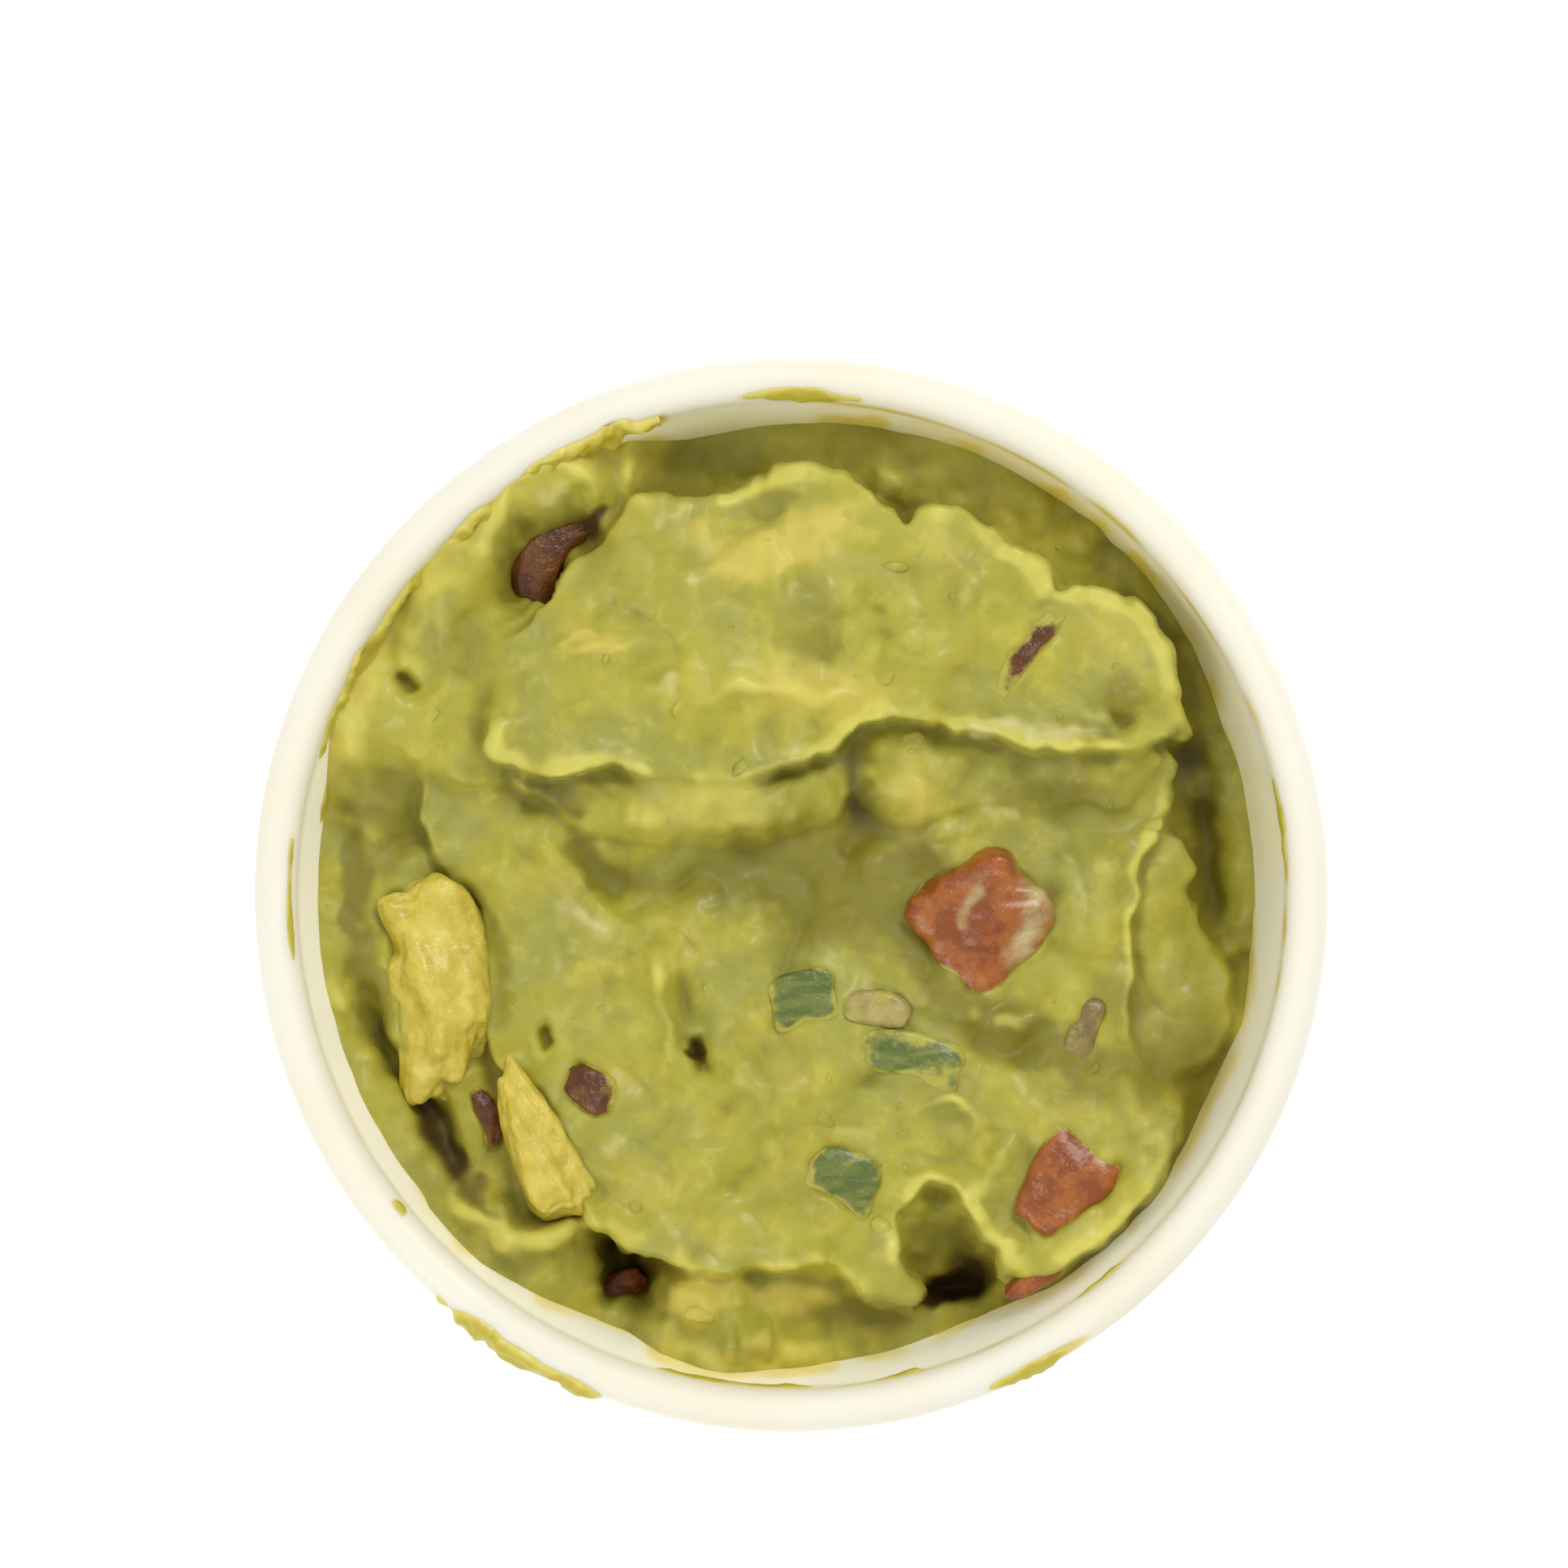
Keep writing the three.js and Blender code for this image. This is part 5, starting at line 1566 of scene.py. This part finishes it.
@dataclass
class Crumbs:
    """Soft bits strewn over a surface by Geometry Nodes. Sizes in millimetres."""

    name: str
    spacing: float
    smallest: float
    largest: float
    flatness: float
    seed: int
    density: float = 220000.0
    detail: int = 2
    sunk: float = 0.78
    grain: float = 900.0

    # The tree's inputs and their kinds
    INPUTS = {"Geometry": "Geometry", "Spacing": "Float", "Density": "Float", "Smallest": "Float",
              "Largest": "Float", "Flatness": "Float", "Seed": "Int", "Finish": "Material"}

    def _tree(self) -> bpy.types.GeometryNodeTree:
        """Build the node tree with its named inputs.

        Returns:
            The tree.
        """
        tree = bpy.data.node_groups.new(self.name, "GeometryNodeTree")
        for name, kind in self.INPUTS.items():
            tree.interface.new_socket(name, in_out="INPUT", socket_type="NodeSocket" + kind)
        tree.interface.new_socket("Geometry", in_out="OUTPUT", socket_type="NodeSocketGeometry")

        def add(kind: str, inputs: dict, output: str | int = 0, **settings: str) -> bpy.types.NodeSocket:
            """Add a node and return one of its outputs."""
            return add_node(tree, kind, settings, inputs).outputs[output]

        given = add_node(tree, "NodeGroupInput").outputs
        room = add("GeometryNodeInputNamedAttribute", {"Name": "room"}, data_type="FLOAT")
        strewn = add_node(tree, "GeometryNodeDistributePointsOnFaces", {"distribute_method": "POISSON"}, {
            "Mesh": given["Geometry"], "Distance Min": given["Spacing"], "Density Max": given["Density"],
            "Density Factor": room, "Seed": given["Seed"]}).outputs
        size = add("FunctionNodeRandomValue", {
            "Min": given["Smallest"], "Max": given["Largest"], "Seed": given["Seed"]}, 1, data_type="FLOAT")
        long = add("FunctionNodeRandomValue", {
            "Min": (0.75, 0.6, 0.7), "Max": (1.5, 1.0, 1.0), "Seed": 3}, data_type="FLOAT_VECTOR")
        flat = add("ShaderNodeCombineXYZ", {"X": 1.0, "Y": 1.0, "Z": given["Flatness"]})
        shape = add("ShaderNodeVectorMath", {0: long, 1: flat}, operation="MULTIPLY")
        scale = add("ShaderNodeVectorMath", {0: shape, "Scale": size}, operation="SCALE")
        spin = add("FunctionNodeRandomValue", {
            "Min": (-0.3, -0.3, 0.0), "Max": (0.3, 0.3, math.tau), "Seed": 5}, data_type="FLOAT_VECTOR")
        turns = add("FunctionNodeRotateRotation", {"Rotation": strewn["Rotation"], "Rotate By": spin},
                    rotation_space="LOCAL")
        ball = add("GeometryNodeMeshIcoSphere", {"Radius": 1.0, "Subdivisions": self.detail}, "Mesh")
        low = add("GeometryNodeTransform", {"Geometry": ball, "Translation": (0.0, 0.0, -self.sunk)})
        placed = add("GeometryNodeInstanceOnPoints", {
            "Points": strewn["Points"], "Instance": low, "Rotation": turns, "Scale": scale})
        real = add("GeometryNodeRealizeInstances", {"Geometry": placed})
        wave = add("ShaderNodeTexNoise", {"Scale": self.grain, "Detail": 2.0}, "Color", noise_dimensions="3D")
        centred = add("ShaderNodeVectorMath", {0: wave, 1: (0.5, 0.5, 0.5)}, operation="SUBTRACT")
        shift = add("ShaderNodeVectorMath", {0: centred, "Scale": given["Largest"]}, operation="SCALE")
        rough = add("GeometryNodeSetPosition", {"Geometry": real, "Offset": shift})
        smooth = add("GeometryNodeSetShadeSmooth", {"Geometry": rough})
        dressed = add("GeometryNodeSetMaterial", {"Geometry": smooth, "Material": given["Finish"]})
        add_node(tree, "NodeGroupOutput", inputs={"Geometry": dressed})
        return tree

    def build(self, mash: bpy.types.Object, room: Array) -> None:
        """Strew them.

        Args:
            mash: The surface that they lie on, whose material and colours they share.
            room: For each of its vertices, how thickly they lie there, from 0 to 1.
        """
        ground = mash.data.copy()
        store(ground, "room", room)
        carrier = add_object(self.name + "_ground", ground)
        modifier = carrier.modifiers.new("strew", "NODES")
        modifier.node_group = self._tree()
        values = {"Spacing": self.spacing * MM, "Density": self.density, "Smallest": self.smallest * MM / 2,
                  "Largest": self.largest * MM / 2, "Flatness": self.flatness, "Seed": self.seed,
                  "Finish": ground.materials[0]}
        for item in modifier.node_group.interface.items_tree:
            if item.name in values:
                modifier[item.identifier] = values[item.name]
        mesh = bpy.data.meshes.new_from_object(carrier.evaluated_get(bpy.context.evaluated_depsgraph_get()))
        carrier.modifiers.remove(modifier)
        bpy.data.objects.remove(carrier)
        bpy.data.meshes.remove(ground)
        mesh.name = self.name
        belongs(add_object(self.name, mesh), "guacamole")


def strew_crumbs(mash: bpy.types.Object, relief: Relief) -> None:
    """Strew soft lumps and fine bits over the mash, clear of the larger pieces.

    Args:
        mash: The mash's object.
        relief: Its heights.
    """
    places = np.empty(len(mash.data.vertices) * 3, np.float32)
    mash.data.vertices.foreach_get("co", places)
    x, y, z = (places.reshape(-1, 3) / MM).T
    clear = np.minimum.reduce([piece.footprint(x, y) for piece in PIECES])
    room = smooth_step(0.2, 0.9, clear) * (z > 30) * (1 - relief.look_up(relief.hollow, x, y).clip(0, 1))
    room = room * smooth_step(0.9, 0.4, np.hypot(*relief.slope(x, y))) * (np.hypot(x, y) < 31.5)
    patchy = smooth_step(-0.35, 0.6, bumps(x, y, 6.5, 21))
    Crumbs("mash_lumps", 5.0, 0.9, 1.8, 0.4, SEED).build(mash, room * patchy)
    Crumbs("mash_crumbs", 3.2, 0.4, 0.8, 0.6, SEED + 1).build(mash, room * (0.25 + 0.75 * patchy))


# Smears


# Millimetres along the rim for one degree
ARC = 0.62


def from_middle(angle: Array, start: float, end: float) -> tuple[Array, Array]:
    """How far angles are past the middle of a stretch: in degrees, and in halves of the stretch."""
    off = (angle - (start + end) / 2 + 180) % 360 - 180
    return off, off / ((end - start) / 2)


@dataclass(frozen=True)
class Smear:
    """A thin patch of mash on the cup. Angles in degrees, the rest in millimetres over the roll."""

    name: str
    start: float
    end: float
    low: float
    high: float
    thick: float
    ragged: float
    lean: float = 0.0

    def mask(self, angle: Array, along: Array) -> Array:
        """How much of it covers a place: above 0 inside it, 1 at its middle.

        Args:
            angle: Angles round the cup in degrees.
            along: Millimetres over the roll.

        Returns:
            One number for each place.
        """
        off, u = from_middle(angle, self.start, self.end)
        v = (along - self.lean * off - (self.low + self.high) / 2) / ((self.high - self.low) / 2)
        seed = len(self.name)
        noise = bumps(angle * ARC, along * 0.8, 2.6, seed) + 0.6 * bumps(angle * ARC, along, 1.0, seed + 40)
        return 1 - (np.abs(u) ** 2.6 + np.abs(v) ** 2.6) + self.ragged * noise


@dataclass(frozen=True)
class Ring:
    """A stained line along the crease. Angles in degrees, the rest in millimetres over the roll."""

    start: float
    end: float
    along: float
    width: float
    strength: float


RINGS = (
    Ring(16, 96, -0.1, 0.7, 1.0),
    Ring(-14, 24, 0.2, 0.6, 0.9),
    Ring(252, 300, -0.5, 0.5, 0.75),
    Ring(186, 232, -0.6, 0.7, 0.4),
    Ring(300, 346, -0.2, 0.4, 0.5),
)

# The length of a smear's name chooses how its edge is torn
SMEARS = (
    Smear("rim_smear_back", 82, 97, 0.2, 1.5, 0.2, 0.9),
    Smear("rim_smear_spill", 107, 134, -3.0, 0.9, 0.7, 1.1, -0.03),
    Smear("rim_smear_left", 130, 163, -3.0, 0.2, 0.5, 0.8),
    Smear("rim_smear_side", -1, 12, -0.2, 0.7, 0.1, 1.0),
    Smear("rim_smear_outer_left", 229, 249, 3.2, 5.4, 0.55, 0.6),
    Smear("rim_smear_outer_front", 292, 304, 3.0, 4.2, 0.3, 0.5),
    Smear("rim_smear_inner_front", 305, 312, -0.5, 0.5, 0.2, 0.5),
    Smear("rim_drop", 217.6, 219.8, 0.7, 1.5, 0.3, 0.3),
    Smear("wall_smear_front", 279, 286, -1.0, -0.1, 0.2, 0.6),
    Smear("wall_smear_low", 255, 276, -1.4, -0.3, 0.15, 0.7),
    Smear("wall_streak_left", 165, 171, -7.4, -4.6, 0.15, 0.9),
    Smear("wall_streak_lower_left", 198, 208, -9.5, -7.2, 0.15, 0.9),
    Smear("rim_streak_left", 173, 188, 0.9, 1.4, 0.1, 0.7),
)


@dataclass
class RimSmears:
    """The patches of mash on the rim and wall, the stains that they leave in the paper, and painted shade
    down the inner wall.
    """

    cup: PaperCup
    rows_per_degree: float = 3.0
    column: float = 0.12
    fewest: int = 8
    sink: float = 0.05
    stain_arc: float = 0.61
    # Side of the inner wall where its painted shade is strongest, in degrees
    shaded_side_angle: float = 70.0
    fringe: float = 4.0

    def stain_and_shade(self, points: Array) -> Array:
        """How stained the paper is at places, with painted shade down the inner wall, from 0 to 1.

        Args:
            points: Places on the cup in millimetres.

        Returns:
            One number for each.
        """
        x, y, z = points.T
        angle = np.degrees(np.arctan2(y, x))
        radius = np.hypot(x, y)
        bend = math.pi - np.arctan2(z - self.cup.roll_level, radius - self.cup.roll_radius)
        on_roll = z > self.cup.roll_level - 0.01
        outside = radius > self.cup.wall(z) + 0.3
        along = np.where(on_roll, bend * self.cup.roll, np.where(outside, 9.0, z - self.cup.roll_level))
        arc = angle * self.stain_arc
        # Tan down the inner wall below the crease: an evenly stained film, plus painted shade that is
        # strongest on the upper right side, which faces away from the light, and weakest at the lower left
        cloud = 0.22 + 0.24 * np.cos(np.radians(angle - self.shaded_side_angle)) + 0.12 * bumps(arc, z, 4.0, 19)
        most = np.where(outside, 0, smooth_step(0.5, -1.4, along) * cloud)
        drift = 0.35 * bumps(arc, 0 * arc, 5.0, 3)
        mottled = 0.7 + 0.5 * bumps(arc, along, 2.2, 7)
        for ring in RINGS:
            ends = smooth_step(1.05, 0.75, np.abs(from_middle(angle, ring.start, ring.end)[1]))
            line = np.exp(-(((along - ring.along - drift) / ring.width) ** 2)) * mottled
            most = np.maximum(most, ring.strength * ends * line)
        for smear in SMEARS:
            most = np.maximum(most, np.clip(smear.mask(angle, along) + 0.35, 0, 0.75))
        fringe = np.exp(-(((z - wall_line(angle)) / self.fringe) ** 2))
        fringe = fringe * (0.7 + 0.8 * bumps(arc, z / self.fringe, 1.8, 51))
        return np.maximum(most, np.where(outside | on_roll, 0, np.clip(fringe, 0, 1)))

    def _steps(self, low: float, high: float, per_unit: float) -> Array:
        """Evenly spaced values from low to high, so many to a unit."""
        return np.linspace(low, high, max(self.fewest, int((high - low) * per_unit)))

    def build(self, finish: SmearFinish) -> None:
        """Make the patches.

        Args:
            finish: Their finish.
        """
        material = finish.material()
        for smear in SMEARS:
            angles = self._steps(smear.start - 1.5, smear.end + 1.5, self.rows_per_degree)
            levels = self._steps(smear.low - 0.5, smear.high + 0.5, 1 / self.column)
            angle, along = np.meshgrid(angles, levels, indexing="ij")
            mask = smear.mask(angle, along)
            point, normal = self.cup.surface(angle, along)
            lump = 0.75 + mottle(angle * ARC, along, (0.5, 1.1, 77), (0.3, 0.5, 31))
            lift = smear.thick * lump * smooth_step(0, 0.9, mask)
            lift = lift - self.sink * (1 - smooth_step(0, 0.3, mask))
            points = (point + normal * lift[..., None]).reshape(-1, 3)
            faces = grid_faces(*angle.shape)
            kept = faces[(mask.reshape(-1)[faces] > 0).any(1)]
            used, numbers = np.unique(kept, return_inverse=True)
            values = {"thick": np.clip(mask, 0, 1).reshape(-1)[used]}
            piece = make_piece(smear.name, points[used], numbers.reshape(-1, 4), material, values)
            belongs(piece, "guacamole")


# Studio


@dataclass
class Studio:
    """A pale floor, soft light from the upper right and a camera straight above. Metres and pixels."""

    cup_level: float
    floor_half: float = 1.5
    brightness: float = 0.62
    picture: float = 1932.0
    pixels_per_mm: float = 17.5
    cup_pixel: Point2 = (975.0, 1101.0)
    distance: float = 0.32
    elevation: float = 89.0
    sensor: float = 36.0

    def _floor(self) -> None:
        """Lay the floor."""
        mesh = bpy.data.meshes.new("floor")
        far = self.floor_half
        mesh.from_pydata([(-far, -far, 0), (far, -far, 0), (far, far, 0), (-far, far, 0)], [], [(0, 1, 2, 3)])
        graph = Graph("floor_white")
        mesh.materials.append(graph.surface(
            Base_Color=graph.mix((200, 200, 199), (graph.grain(0.004, 2), (204, 204, 203))),
            Roughness=0.9,
            Specular_IOR_Level=0.1,
            Emission_Color=(1.0, 1.0, 1.0, 1.0),
            Emission_Strength=self.brightness,
        ))
        add_object("floor", mesh)

    def _lights(self) -> None:
        """Hang the lights: for each its place, its size and its power."""
        world = bpy.data.worlds.new("studio")
        world.use_nodes = True
        background = world.node_tree.nodes["Background"]
        feed(background.inputs["Color"], (1.0, 0.995, 0.98, 1.0))
        feed(background.inputs["Strength"], self.brightness)
        bpy.context.scene.world = world
        lamps = {"key": ((0.2, 0.34, 0.58), 0.24, 1.65), "fill": ((-0.34, -0.4, 0.46), 0.4, 1.15)}
        for name, (place, size, power) in lamps.items():
            light = bpy.data.lights.new(name, "AREA")
            light.shape = "DISK"
            light.size = size
            light.energy = power
            light.color = (1.0, 0.985, 0.95)
            lamp = add_object(name, light)
            lamp.location = place
            aim = Vector((0, 0, self.cup_level)) - Vector(place)
            lamp.rotation_euler = aim.to_track_quat("-Z", "Y").to_euler()

    def _camera(self) -> None:
        """Set the camera over the middle of the cup's rim."""
        camera = bpy.data.cameras.new("camera")
        camera.sensor_width = self.sensor
        camera.lens = self.sensor * self.distance / (self.picture / self.pixels_per_mm * MM)
        camera.shift_x = (self.picture / 2 - self.cup_pixel[0]) / self.picture
        camera.shift_y = (self.cup_pixel[1] - self.picture / 2) / self.picture
        camera.clip_start = 0.02
        lens = add_object("camera", camera)
        up = math.radians(self.elevation)
        away = Vector((0, -math.cos(up), math.sin(up))) * self.distance
        lens.location = Vector((0, 0, self.cup_level)) + away
        lens.rotation_euler = (math.pi / 2 - up, 0, 0)
        bpy.context.scene.camera = lens

    def build(self) -> None:
        """Set it all up."""
        self._floor()
        self._lights()
        self._camera()
        bpy.context.scene.view_settings.view_transform = "Standard"
        log.info("studio: floor, lights and camera")


def main() -> None:
    """Build the cup, the mash and all that is in and on them, then the studio."""
    logging.basicConfig(level=logging.INFO, format="%(name)s: %(message)s")
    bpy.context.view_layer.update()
    cup = PaperCup()
    smears = RimSmears(cup)
    cup.build(PaperFinish(), smears.stain_and_shade)
    relief = Relief()
    mash = Mash(cup, relief).build(MashFinish())
    for piece in PIECES:
        piece.build(relief)
    strew_crumbs(mash, relief)
    smears.build(SmearFinish())
    Studio(cup.height * MM).build()


if __name__ == "__main__":
    main()
